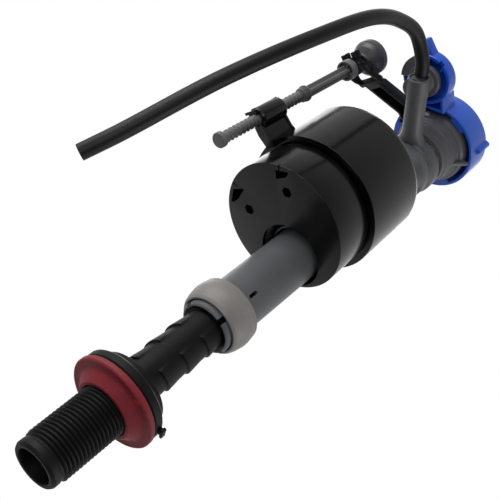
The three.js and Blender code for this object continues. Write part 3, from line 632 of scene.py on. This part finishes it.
# -------- outlet, hose and adjuster
def pipe_saddle():
    """The oval root of the refill pipe, which narrows to the round pipe away from the ring."""
    sections = []
    for distance, wide, tall in ((11.5, 8.2, 3.7), (13.5, 7.6, 4.0), (15.5, 6.9, 4.3), (17.5, 6.1, 4.7),
                                 (19.5, 5.5, 4.95), (22, 5.15, 5.08), (26, 5.1, 5.1), (30, 5.1, 5.1)):
        angles = [rad(360 * i / SMALL) for i in range(SMALL)]
        sections.append([(distance, wide * math.cos(t), OUTLET["pipe_z"] + tall * math.sin(t))
                         for t in angles])
    return turn(from_rings("saddle", sections), OUTLET["azimuth"])


def outlet_manifold():
    """The ring above the riser, with the refill pipe, its nipple, the dial's housing and scale plate."""
    o, a = OUTLET, ADJUST
    ring = revolve("outlet_manifold_skin", rounded([
        (10.4, 205.3, 0.3), (14.4, 205.3, 0.3), (15.2, 206.2, 0.5), (15.6, 207.9, 0.8),
        (15.6, 213.3, 0.3), (14.4, 213.3, 0.3), (14.4, 212.3), (10.4, 212.3, 0.3)]))
    riser_room = cylinder("hollow", 200, 205.3, 15.0, FINE)
    neck_room = cylinder("keep_out", 204, 219, 10.4, FINE)
    bowl_room = cylinder("body_room", 213.31, 220, 15.7, FINE)
    end = o["pipe_end"]
    pipe = revolve("pipe", rounded([
        (0, 29), (o["pipe"], 29), (o["pipe"], end - 10, 0.1), (5.5, end - 9.6, 0.2),
        (5.5, end - 0.5, 0.3), (o["pipe"], end, 0.2), (4.3, end, 0.2), (4.1, end - 1.2),
        (0, end - 1.2)]), 64)
    lay(pipe, o["azimuth"], o["pipe_z"])
    nipple = bar("nipple", end - 2, o["nipple_end"], o["nipple"], o["azimuth"], o["pipe_z"] + o["rise"])
    x, y = polar(a["radius"], a["azimuth"])
    column = revolve("column", rounded([
        (0, 206), (5.4, 206), (5.4, 214.6, 0.3), (5.9, 216.1, 0.3), (8.1, 216.1, 0.3), (8.4, 216.6, 0.2),
        (8.4, 219, 0.4), (3.7, 219, 0.2), (3.7, 214), (0, 214)]), 64, (x, y))
    plate = sector("plate", 13, 0, a["azimuth"] - 93, a["azimuth"], 216.9, 218.3, (x, y), bevel=0.25)
    whole = merge(ring, pipe_saddle(), pipe, nipple, column, plate)
    return carve(whole, riser_room, neck_room, bowl_room)


def drape():
    """Points along the hose's centre line: along the nipple, over past the rod and down. They lie on a
    centripetal Catmull-Rom curve through two points on the nipple and the hose's hanging points."""
    level = OUTLET["pipe_z"] + OUTLET["rise"]
    knots = [(*polar(radius, OUTLET["azimuth"]), level)
             for radius in (OUTLET["pipe_end"] + 0.9, OUTLET["nipple_end"])]
    knots = [Vector(k) for k in (*knots, *HOSE["hang"])]
    knots = [2 * knots[0] - knots[1], *knots, 2 * knots[-1] - knots[-2]]
    points = []
    for p0, p1, p2, p3 in zip(knots, knots[1:], knots[2:], knots[3:]):
        t1 = (p1 - p0).length ** 0.5
        t2 = t1 + (p2 - p1).length ** 0.5
        t3 = t2 + (p3 - p2).length ** 0.5
        steps = max(3, round((p2 - p1).length / HOSE["step"]))
        for i in range(steps):
            t = t1 + (t2 - t1) * i / steps
            a1 = p0 * ((t1 - t) / t1) + p1 * (t / t1)
            a2 = p1 * ((t2 - t) / (t2 - t1)) + p2 * ((t - t1) / (t2 - t1))
            a3 = p2 * ((t3 - t) / (t3 - t2)) + p3 * ((t - t2) / (t3 - t2))
            b1 = a1 * ((t2 - t) / t2) + a2 * (t / t2)
            b2 = a2 * ((t3 - t) / (t3 - t1)) + a3 * ((t - t1) / (t3 - t1))
            points.append(b1 * ((t2 - t) / (t2 - t1)) + b2 * ((t - t1) / (t2 - t1)))
    points.append(knots[-2])
    return points


def refill_hose():
    points = drape()
    out, bore, edge = HOSE["out"], HOSE["bore"], HOSE["edge"]
    tangents = [(points[min(i + 1, len(points) - 1)] - points[max(i - 1, 0)]).normalized()
                for i in range(len(points))]
    sides = [tangents[0].cross(Vector((0, 0, 1))).normalized()]
    for tangent in tangents[1:]:
        sides.append((sides[-1] - tangent * tangent.dot(sides[-1])).normalized())
    rows = list(zip(points, tangents, sides))

    def ring(row, radius, shift=0.0):
        point, ahead, side = row
        other = ahead.cross(side)
        angles = [rad(360 * i / SMALL) for i in range(SMALL)]
        return [point + ahead * shift + (side * math.cos(t) + other * math.sin(t)) * radius
                for t in angles]

    first, last, middle = rows[0], rows[-1], rows[1:-1]
    rings = [ring(first, out - edge), ring(first, out, edge)]
    rings += [ring(row, out) for row in middle]
    rings += [ring(last, out, -edge), ring(last, out - edge), ring(last, bore + edge)]
    rings += [ring(last, bore, -edge), *(ring(row, bore) for row in middle[::-1]), ring(first, bore)]
    return from_rings("refill_hose_skin", rings, wrap=True)


def adjuster_knob():
    """The dial with its rim, pointed handle and inner socket, drawn on the valve's axis and moved."""
    x, y = polar(ADJUST["radius"], ADJUST["azimuth"])
    knob = revolve("adjuster_knob_skin", rounded([
        (0, 223.6), (11.1, 223.6, 0.4), (11.1, 218.6, 0.3), (12.7, 218.6, 0.3), (13, 219.1, 0.2),
        (13, 225.6, 0.9), (0, 225.6)]), FINE)
    notch = sector("notch", 14.5, 10.4, 28, 41, 217, 220.1)
    knob = carve(knob, notch)
    rib = turn(box("rib", (9.1, 11.6), (-0.6, 0.6), (219.4, 223.8), 0.15), 47)
    handle = prism("handle", rounded([
        (11.6, -4.6), (13.8, -3.4, 2), (19.5, -1.0, 0.8), (19.5, 1.0, 0.8), (13.8, 3.4, 2), (11.6, 4.6)]),
        219.4, 225.4, bevel=0.4)
    turn(handle, -12)
    socket = revolve("socket", rounded([
        (2.9, 221.2, 0.2), (4.6, 221.2, 0.3), (4.6, 224), (2.9, 224)]), SMALL)
    knob = merge(knob, rib, handle, socket)
    return set_down(knob, x, y, OUTLET["azimuth"])


# -------- head
def valve_body():
    """The bowl with its seat, bayonet tabs, water ports, toothed groove and lever window."""
    bowl = revolve("valve_body_skin", rounded([
        (4.1, 213.2), (5.45, 213.2), (5.45, 207.6), (7, 207.6, 0.2), (7, 214.2), (12.6, 214.2),
        (12.6, 213.6, 0.1), (13.3, 213.6, 0.1), (13.3, 217.3), (14.9, 217.5, 0.3), (15.3, 220.4, 0.3),
        (15.9, 220.8, 0.3), (16.4, 224.4, 0.3), (16.9, 224.8, 0.2), (17.4, 229, 0.5), (18.6, 229.6, 0.3),
        (19.4, 231, 0.4), (19.4, 236, 0.4), (17.2, 236, 0.3),
        (17.2, 230), (14.9, 228), (14.9, 220), (12.2, 220), (12.2, 216.2), (7, 216.2), (7, 217.6),
        (5.6, 219, 0.3), (4.1, 219, 0.2)]))
    tabs = [sector("tab", 21.4, 18, at - 14, at + 14, 234.2, 236, bevel=0.2) for at in BAYONET]
    rib = rounded([(16.2, 223.5), (17.6, 226), (22.4, 230.4, 0.6), (22.4, 232.1, 0.4), (18.4, 232.1),
                   (16.2, 229)])
    ribs = [turn(prism("rib", rib, -0.7, 0.7, "XZ", bevel=0.2), at) for at in BOWL_RIBS]
    whole = merge(bowl, *tabs, *ribs)
    ports = [sector("port", 11.6, 8, at - 34, at + 34, 212, 217) for at in range(45, 360, 90)]
    notches = [sector("notch", 14, 10.6, at - 8, at + 8, 212.6, 216.9, steps=4)
               for at in range(0, 360, 30)]
    window = box("window", (11, 25), (-5.6, 5.6), (220.6, 237))
    return carve(whole, *ports, *notches, window)


def cap():
    low, out, inner, roof = CAP["bottom"], CAP["out"], CAP["inner"], CAP["roof"]
    shell = revolve("cap_skin", rounded([
        (0, roof), (inner, roof, 1.2), (inner, low, 0.4), (23.3, low, 0.3), (out, low + 0.6, 0.3),
        (out, TOP, 1.4), (0, TOP)]), 128)
    ledges = [sector("ledge", 22.4, 19.8, at - 12, at + 12, low, 233.8, bevel=0.2) for at in BAYONET]
    tab = prism("tab", rounded([(22.6, -6), (31, -4.2, 1), (31, 4.2, 1), (22.6, 6)]), 229, 241, bevel=0.4)
    hollow = prism("hollow", rounded([
        (24.0, -4.4, 0.5), (29.6, -3, 0.5), (29.6, 3, 0.5), (24.0, 4.4, 0.5)]), 228, 239.6)
    tab = turn(carve(tab, hollow), OUTLET["azimuth"])
    ear = prism("ear", rounded([(22.8, -2.6), (25.5, -0.7, 0.5), (25.5, 0.7, 0.5), (22.8, 2.6)]),
                238, 248.4, bevel=0.4)
    return merge(shell, *ledges, tab, turn(ear, CAP["ear_at"]))


def water_seal():
    return revolve("water_seal_skin", rounded([
        (1.9, 219.15, 0.2), (6.4, 219.15, 0.3), (7.6, 220.2, 0.4), (14.5, 220.2, 0.3), (14.5, 221.6, 0.3),
        (6, 221.4, 0.4), (4.5, 221.1, 0.2), (1.9, 221.1, 0.2)]))


def seal_retainer():
    disc = revolve("seal_retainer_skin", rounded([
        (1.85, 221.9, 0.1), (14.5, 221.9, 0.3), (14.5, 224, 0.3), (3.6, 224, 0.2), (3.6, 224.4, 0.1),
        (1.85, 224.4, 0.1)]))
    ears = [prism("ear", rounded([(8.1, 222.4), (12.8, 222.4), (12.8, 229.4, 1.8), (8.1, 229.4, 1.8)]),
                  *sorted((side * 4.9, side * 6.9)), "XZ", bevel=0.2) for side in (-1, 1)]
    disc = merge(disc, *ears)
    room = box("room", (PIVOT[0] - 2, 20), (-4.9, 4.9), (223.1, 240))
    return carve(disc, room, cross_pin("hole", *PIVOT, LEVER["pin_hole"]))


def plunger():
    return revolve("plunger_skin", rounded([
        (0, 220.8), (0.8, 220.8, 0.3), (1.5, 222, 0.3), (1.5, 227, 0.1), (1.9, 227, 0.2), (1.9, 228.2, 0.5),
        (0, 228.2)]), SMALL)


def lever_pin():
    r, half = 1.2, 6.7
    profile = rounded([(0, -half), (r, -half, 0.3), (r, half, 0.3), (0, half)])
    return lay_across(revolve("lever_pin_skin", profile, SMALL), *PIVOT)


def on_arm(back, above, fillet=0.0):
    """A point of the lever's sloping arm, back from the clip's pins and above the arm's middle line."""
    end_x, end_z = on_rod(ROD["clip"])
    elbow_x, elbow_z = LEVER["elbow"]
    slope = math.atan2(elbow_z - end_z, end_x - elbow_x)
    return (end_x - back * math.cos(slope) + above * math.sin(slope),
            end_z + back * math.sin(slope) + above * math.cos(slope), fillet)


def lever_slot():
    """Cutters for the slot that holds the clip's pins, in line with the pivot, and for its open mouth."""
    end_x, end_z = on_rod(ROD["clip"])
    r, length = LEVER["slot_r"], LEVER["slot_length"]
    reach = math.atan2(PIVOT[1] - end_z, end_x - PIVOT[0])
    far = Vector((end_x - length * math.cos(reach), end_z + length * math.sin(reach)))
    near = Vector((end_x, end_z))
    side = Vector((math.sin(reach), math.cos(reach))) * r
    middle = [tuple(p) for p in (far - side, near - side, near + side, far + side)]
    mouth = [p[:2] for p in (on_arm(0, r), on_arm(0, -r), on_arm(-5, -r), on_arm(-5, r))]
    return (cross_pin("slot_end", *far, r), prism("slot", middle, -10, 10, "XZ"),
            cross_pin("slot_start", end_x, end_z, r), prism("mouth", mouth, -10, 10, "XZ"))


def float_lever():
    """The cranked lever: a hollow arm with cross ribs, and a fork of two cheeks on a yoke."""
    v = LEVER
    elbow_x, elbow_z = v["elbow"]
    wide, tall, crotch = v["half_width"], v["half_height"], v["crotch"]
    waist = 0.5
    arm = prism("float_lever_skin", rounded([
        (-2.2, 228.7, 0.5), (2.2, 228.7, 0.8), (7.4, 226.4, 1), (9, 224.6, 0.8), (12, 224.4, 1),
        (elbow_x - 1, elbow_z - tall, 3), on_arm(crotch - 1.6, -tall), on_arm(crotch - 1.6, waist, 0.3),
        on_arm(crotch + 0.5, waist, 1), on_arm(crotch + 5, tall, 2), (elbow_x + 1, elbow_z + tall, 4),
        (19, 228.8, 3), (12, 229.8, 3), (3, 231.2, 1), (-2.2, 231.2, 0.6)]), -wide, wide, "XZ", bevel=0.35)
    channel = [p[:2] for p in (
        (15, 220), (15, 225.6), (elbow_x - 0.6, elbow_z + 1.2), on_arm(crotch + 4, 1.2),
        on_arm(crotch + 4, -8), (elbow_x, 215))]
    arm = carve(arm, prism("channel", channel, v["wall"] - wide, wide - v["wall"], "XZ"))
    ribs = []
    for back in (6, 12, 18, 24):
        near, far = crotch + back - 0.4, crotch + back + 0.4
        rib = [p[:2] for p in (on_arm(near, 0.2), on_arm(far, 0.2), on_arm(far, 1.6), on_arm(near, 1.6))]
        ribs.append(prism("rib", rib, 0.5 - wide, wide - 0.5, "XZ"))
    cheek = rounded([
        on_arm(crotch, 0.5 - tall), on_arm(8, -3.4, 1), on_arm(-3.6, -3.4, 0.9), on_arm(-3.6, 2.9, 0.9),
        on_arm(6, 2.9, 1.2), on_arm(10, waist, 1), on_arm(crotch, waist - 0.4)])
    cheeks = [prism("cheek", cheek, *sorted((side * 5.2, side * 6.5)), "XZ", bevel=0.3)
              for side in (-1, 1)]
    yoke = [p[:2] for p in (
        on_arm(crotch + 1, -tall), on_arm(crotch - 1.6, -tall), on_arm(crotch - 1.6, waist),
        on_arm(crotch + 1, waist))]
    whole = merge(arm, *ribs, prism("yoke", yoke, -6.6, 6.6, "XZ", bevel=0.3), *cheeks)
    return carve(whole, cross_pin("pin_hole", *PIVOT, v["pin_hole"]), *lever_slot())


# -------- rod and clip
def adjustment_rod():
    """The rod with its foot, thread, fluted neck and knob, drawn upright and then leaned."""
    root, crest = ROD["root"], ROD["crest"]
    low, high = ROD["thread"]
    bm = bmesh.new()
    teeth = [(0.0, root), (0.12, root), (0.42, crest - 0.04), (0.5, crest), (0.58, crest - 0.04),
             (0.88, root)]
    helical(bm, ROD["thread"], ROD["pitch"], teeth, SMALL, fade=1.2)
    turned_rows(bm, rounded([
        (0, 0), (3.6, 0, 0.5), (3.6, 2.6, 0.5), (2.5, 3.0, 0.2), (root, low)], closed=False), SMALL)
    turned_rows(bm, rounded([
        (root, high), (2.6, 57.1), (3.4, 57.5, 0.2), (3.4, 58.1, 0.1), (2.9, 58.3), (2.9, 58.7),
        (3.6, 58.9, 0.1), (3.6, 59.4, 0.1), (3.1, 59.6), (3.1, 59.9), (3.9, 60.1, 0.2), (3.9, 61, 0.3),
        (1.5, 61, 0.2), (1.2, 61.6), (1.2, 94.6), (4.2, 94.6), (4.2, 92.6, 0.2), (5, 92.6, 0.2),
        (5, 97, 0.4), (2.4, 97, 0.3), (2.4, 105.4, 1), (4.4, 107.6, 1.5), (7.2, 109.6, 2),
        (8.6, 111.6, 0.8), (8.7, 112.7, 0.1), (9, 112.9, 0.1), (9, 116.2, 0.4), (8.3, 117.0, 0.5),
        (5.4, 117.5, 1), (0, 117.5)], closed=False), SMALL)
    rod = finish_mesh(bm, "adjustment_rod_skin")
    flutes = [turn(box("flute", (-2.8, 2.8), (-0.75, 0.75), (60.2, 93.4), 0.2), deg) for deg in (0, 90)]
    webs = [turn(box("web", (-4.5, 4.5), (-0.4, 0.4), (92.9, 95), 0.1), deg) for deg in (45, 135)]
    return lean(gather(rod, *flutes, *webs))


def rod_clip():
    """The clip round the rod's neck: a ring with two jaws, and two pins for the lever's fork."""
    low, high = 98.2, 103.8
    ring = revolve("rod_clip_skin", rounded([
        (2.7, low, 0.2), (4.7, low, 0.4), (4.7, high, 0.4), (2.7, high, 0.2)]), 48)
    jaws = [box("jaw", (2.6, 7), sorted((side * 2.3, side * 4.0)), (low, high), 0.3) for side in (-1, 1)]
    mouth = box("mouth", (1, 8), (-2.2, 2.2), (97, 105))
    groove = box("groove", (4.3, 8), (-5, 5), (100.1, 101.9))
    whole = carve(merge(ring, *jaws), mouth, groove)
    pins = []
    for side in (-1, 1):
        pin = revolve("pin", rounded([(0, 3.6), (1.2, 3.6), (1.2, 6.6, 0.3), (0, 6.6)]), 24)
        place = Matrix.Translation((0, 0, ROD["clip"]))
        pin.data.transform(place @ Matrix.Rotation(rad(-90 * side), 4, "X"))
        pins.append(pin)
    return lean(merge(whole, *pins))


# -------- float
def float_lower():
    """The lower shell: a drum with a centre hole and counterbore, wells, drain pockets and slits."""
    base, out, below = FLOAT["bottom"], FLOAT["low_out"], 108
    shell = revolve("float_lower_skin", rounded([
        (0, base), (out, base, 0.3), (30.6, 130, 0.3), (26.6, 130, 0.3), (26.6, 134, 0.4), (0, 134)]),
        128, (FLOAT["x"], FLOAT["y"]))
    cutters = [cylinder("hole", below, 135, FLOAT["hole"], FINE)]
    cutters.append(revolve("counterbore", [
        (0, below), (15.5, below), (15.5, 110.8), (12.5, 113.5), (0, 113.5)], FINE, (1.9, 0.5)))
    for well in ((13.7, 13.3), (12.6, -14.0)):
        cutters.append(cylinder("well", below, 112.5, 2.65, 6, float_point(*well)))
    for pocket in (
            [(24.6, 13.9, 0.4), (21.3, 20.6, 0.6), (19.9, 17.5, 1), (20.8, 11.4, 0.4)],
            [(23.9, -16.9, 0.4), (22.2, -9.6, 0.5), (18.8, -17.5, 1), (18.4, -22.8, 0.5)]):
        outline = [(*float_point(along, across), fillet) for along, across, fillet in pocket]
        cutters.append(prism("pocket", rounded(outline), below, 117))
    for along, across, deg in ((26.5, -14.5, -31), (25.6, 17.0, 31)):
        slit = box("slit", (-2.6, 2.6), (-0.35, 0.35), (below, 110))
        cutters.append(set_down(slit, *float_point(along, across), deg))
    return carve(shell, *cutters)


def bracket():
    """The float's arm: a strap with raised edges, the round boss on the rod and its outer plate."""
    root = FLOAT["x"] + FLOAT["high_out"] - 3
    low, high, out = 125, 141.8, 66
    clear = root + 0.6
    strap = prism("bracket", rounded([
        (root, low + 7), (clear, low + 6.8), (clear, low + 1.6, 1), (clear + 7, low, 4),
        (out - 0.7, low), (out - 0.7, high), (root + 11, high, 3), (root + 5, high + 0.6, 4),
        (root, high + 2.6)]), -2.4, 2.4, "XZ")
    panel = rounded([
        (root + 1.8, low + 2.8, 1), (clear + 7.2, low + 1.2, 3), (out - 4, low + 1.2),
        (out - 4, high - 1.2), (root + 11, high - 1.2, 3), (root + 5, high - 0.6, 3),
        (root + 1.8, high + 0.4, 1)])
    panels = [prism("panel", panel, *sorted((side * 2.0, side * 3.0)), "XZ") for side in (-1, 1)]
    boss = lean(revolve("boss", rounded([
        (0, 25.6), (4.6, 25.6, 0.2), (5.2, 26.4, 0.3), (5.2, 41.2, 0.6), (0, 41.2)]), 64))
    plate = box("plate", (out - 1.4, out), (-4.6, 1.5), (low + 0.1, high - 0.1), 0.2)
    bore = lean(cylinder("bore", 12, 55, 3.15))
    mouth = lean(revolve("mouth", [(0, 25), (4.0, 25), (3.0, 27), (0, 27)], SMALL))
    return carve(merge(carve(strap, *panels), boss, plate), bore, mouth)


def float_upper():
    """The upper shell, open below round the lower one, with its bracket."""
    seam, out, top, centre = FLOAT["seam"], FLOAT["high_out"], FLOAT["top"], (FLOAT["x"], FLOAT["y"])
    shell = revolve("float_upper_skin", rounded([
        (0, seam), (out, seam, 0.3), (out - 0.6, top, 5), (0, top)], steps=10), 128, centre)
    room = cylinder("room", 130, 135, 27.0, FINE, centre)
    hole = cylinder("hole", 120, 180, FLOAT["hole"], FINE)
    return merge(carve(shell, room, hole), bracket(), crease=36)


# -------- pieces inside
def supply_tube():
    return revolve("supply_tube_skin", rounded([
        (4, 40, 0.2), (6.2, 40, 0.3), (6.2, 41.7, 0.2), (5.2, 41.7), (5.2, 45.3), (6.2, 45.3, 0.2),
        (6.2, 47, 0.3), (5.2, 48.5, 0.5), (5.2, 212.6, 0.3), (4, 212.6, 0.2)]), 64)


def supply_seal():
    return revolve("supply_seal_skin", rounded([
        (5.3, 42, 0.3), (6.0, 42, 0.5), (6.45, 43.5, 0.9), (6.0, 45, 0.5), (5.3, 45, 0.3)]), 64)


def neck_seal():
    return revolve("neck_seal_skin", rounded([
        (8.4, 202.8, 0.5), (10.2, 202.8, 0.5), (10.2, 207.2, 0.5), (8.4, 207.2, 0.5)]), 64)


def adjuster_spindle():
    x, y = polar(ADJUST["radius"], ADJUST["azimuth"])
    return revolve("adjuster_spindle_skin", rounded([
        (0, 208), (3.4, 208, 0.3), (3.4, 213.2), (2.7, 213.2), (2.7, 215), (3.4, 215), (3.4, 216, 0.2),
        (2.6, 216), (2.6, 223.3, 0.2), (0, 223.3)]), SMALL, (x, y))


def spindle_seal():
    x, y = polar(ADJUST["radius"], ADJUST["azimuth"])
    return revolve("spindle_seal_skin", rounded([
        (2.8, 213.4, 0.2), (3.3, 213.4, 0.2), (3.6, 214.1, 0.3), (3.3, 214.8, 0.2), (2.8, 214.8, 0.2)]),
        SMALL, (x, y))


def build_pieces(materials):
    """Makes every piece on its body. Each function is named after the CAD node that it replaces."""
    table = (
        (shank_tube, "shank", "shank"), (shank_washer, "washer", "shank"), (riser_tube, "riser", "riser"),
        (lock_ring, "ring", "lock"), (outlet_manifold, "manifold", "riser"),
        (valve_body, "bowl", "riser"), (cap, "cap", "cap"), (adjuster_knob, "dial", "adjuster"),
        (adjuster_spindle, "inner", "adjuster"), (spindle_seal, "seal", "adjuster"),
        (refill_hose, "hose", "riser"), (water_seal, "seal", "riser"), (seal_retainer, "inner", "riser"),
        (plunger, "inner", "plunger"), (lever_pin, "inner", "riser"), (float_lever, "lever", "lever"),
        (adjustment_rod, "rod", "rod"), (rod_clip, "clip", "clip"), (float_lower, "float_low", "float"),
        (float_upper, "float_high", "float"), (supply_tube, "inner", "riser"),
        (supply_seal, "seal", "riser"), (neck_seal, "seal", "riser"),
    )
    for make, look, body in table:
        hand_over(make(), materials[look], make.__name__, body)


# -------- studio
# The camera's place and directions in the row frame, in metres. The lights are set out from them.
CAMERA_AT = Vector((0.1155, 0.3031, -0.4068))
RIGHT = Vector((-0.4229, 0.6533, 0.6279))
UP = Vector((0.8714, 0.1034, 0.4794))
FORWARD = Vector((-0.2484, -0.7499, 0.6131))
TARGET = Vector((0.02, 0.01, -0.12))  # the middle of the valve, where the lights point
LENS, SENSOR = 67.45, 36  # millimetres


def add_camera():
    data = bpy.data.cameras.new("camera")
    data.sensor_width = SENSOR
    data.lens = LENS
    data.clip_start = 0.01
    camera = bpy.data.objects.new("camera", data)
    bpy.context.scene.collection.objects.link(camera)
    axes = Matrix((RIGHT, UP, -FORWARD)).transposed().to_4x4()
    camera.matrix_world = Matrix.Translation(CAMERA_AT) @ axes
    bpy.context.scene.camera = camera


def soft_box(name, right, up, back, size, power):
    """An area light placed from the target in the camera's own directions, aimed at the target."""
    data = bpy.data.lights.new(name, "AREA")
    data.shape = "RECTANGLE"
    data.size, data.size_y = size
    data.energy = power
    light = bpy.data.objects.new(name, data)
    bpy.context.scene.collection.objects.link(light)
    place = TARGET + RIGHT * right + UP * up - FORWARD * back
    aim = (place - TARGET).to_track_quat("Z", "Y").to_matrix().to_4x4()
    light.matrix_world = Matrix.Translation(place) @ aim


def add_world():
    """A white sweep behind the valve that falls away to a dim room on the camera's side."""
    world = bpy.data.worlds.new("studio")
    bpy.context.scene.world = world
    world.use_nodes = True
    nodes, links = world.node_tree.nodes, world.node_tree.links
    background = nodes["Background"]
    direction = nodes.new("ShaderNodeTexCoord").outputs["Generated"]
    facing = nodes.new("ShaderNodeVectorMath")
    facing.operation = "DOT_PRODUCT"
    facing.inputs[1].default_value = FORWARD
    links.new(direction, facing.inputs[0])
    sweep = nodes.new("ShaderNodeMapRange")
    for name, value in (("From Min", -0.7), ("From Max", 0.9), ("To Min", 0.07), ("To Max", 0.85)):
        sweep.inputs[name].default_value = value
    links.new(facing.outputs["Value"], sweep.inputs["Value"])
    path = nodes.new("ShaderNodeLightPath")
    strength = nodes.new("ShaderNodeMapRange")
    strength.inputs["To Max"].default_value = 1.0
    links.new(sweep.outputs["Result"], strength.inputs["To Min"])
    links.new(path.outputs["Is Camera Ray"], strength.inputs["Value"])
    links.new(strength.outputs["Result"], background.inputs["Strength"])
    background.inputs["Color"].default_value = (1, 1, 1, 1)


def add_floor():
    """A pale table below the valve, seen by the camera from above and clear from below."""
    data = bpy.data.meshes.new("floor")
    reach, level = 1.2, -0.3  # metres
    corners = [(x * reach, y * reach, level) for x, y in ((-1, -1), (1, -1), (1, 1), (-1, 1))]
    data.from_pydata(corners, [], [(0, 1, 2, 3)])
    floor = bpy.data.objects.new("floor", data)
    bpy.context.scene.collection.objects.link(floor)
    n = Nodes("floor_paint")
    n.shader.inputs["Base Color"].default_value = (0.86, 0.86, 0.86, 1)
    n.shader.inputs["Roughness"].default_value = 0.9
    geometry = n.add("NewGeometry").outputs["Backfacing"]
    camera_ray = n.add("LightPath").outputs["Is Camera Ray"]
    hidden = n.maths("MAXIMUM", geometry, n.maths("SUBTRACT", 1.0, camera_ray))
    clear = n.add("BsdfTransparent").outputs["BSDF"]
    mix = n.add("MixShader", {0: hidden, 1: n.shader.outputs["BSDF"], 2: clear})
    n.tree.links.new(mix.outputs["Shader"], n.tree.nodes["Material Output"].inputs["Surface"])
    floor.data.materials.append(n.material)


def add_lights():
    soft_box("key", -0.25, 0.8, 0.3, (0.9, 0.45), 6.5)
    soft_box("fill", 0.6, -0.7, 0.15, (0.7, 0.5), 2.8)
    soft_box("front", -0.1, 0.15, 0.9, (0.5, 0.5), 2)
    soft_box("back", 0.1, 0.3, -0.9, (0.9, 0.9), 4)


build_pieces(make_materials())
add_camera()
add_world()
add_lights()
add_floor()
bpy.context.scene.view_settings.view_transform = "Standard"
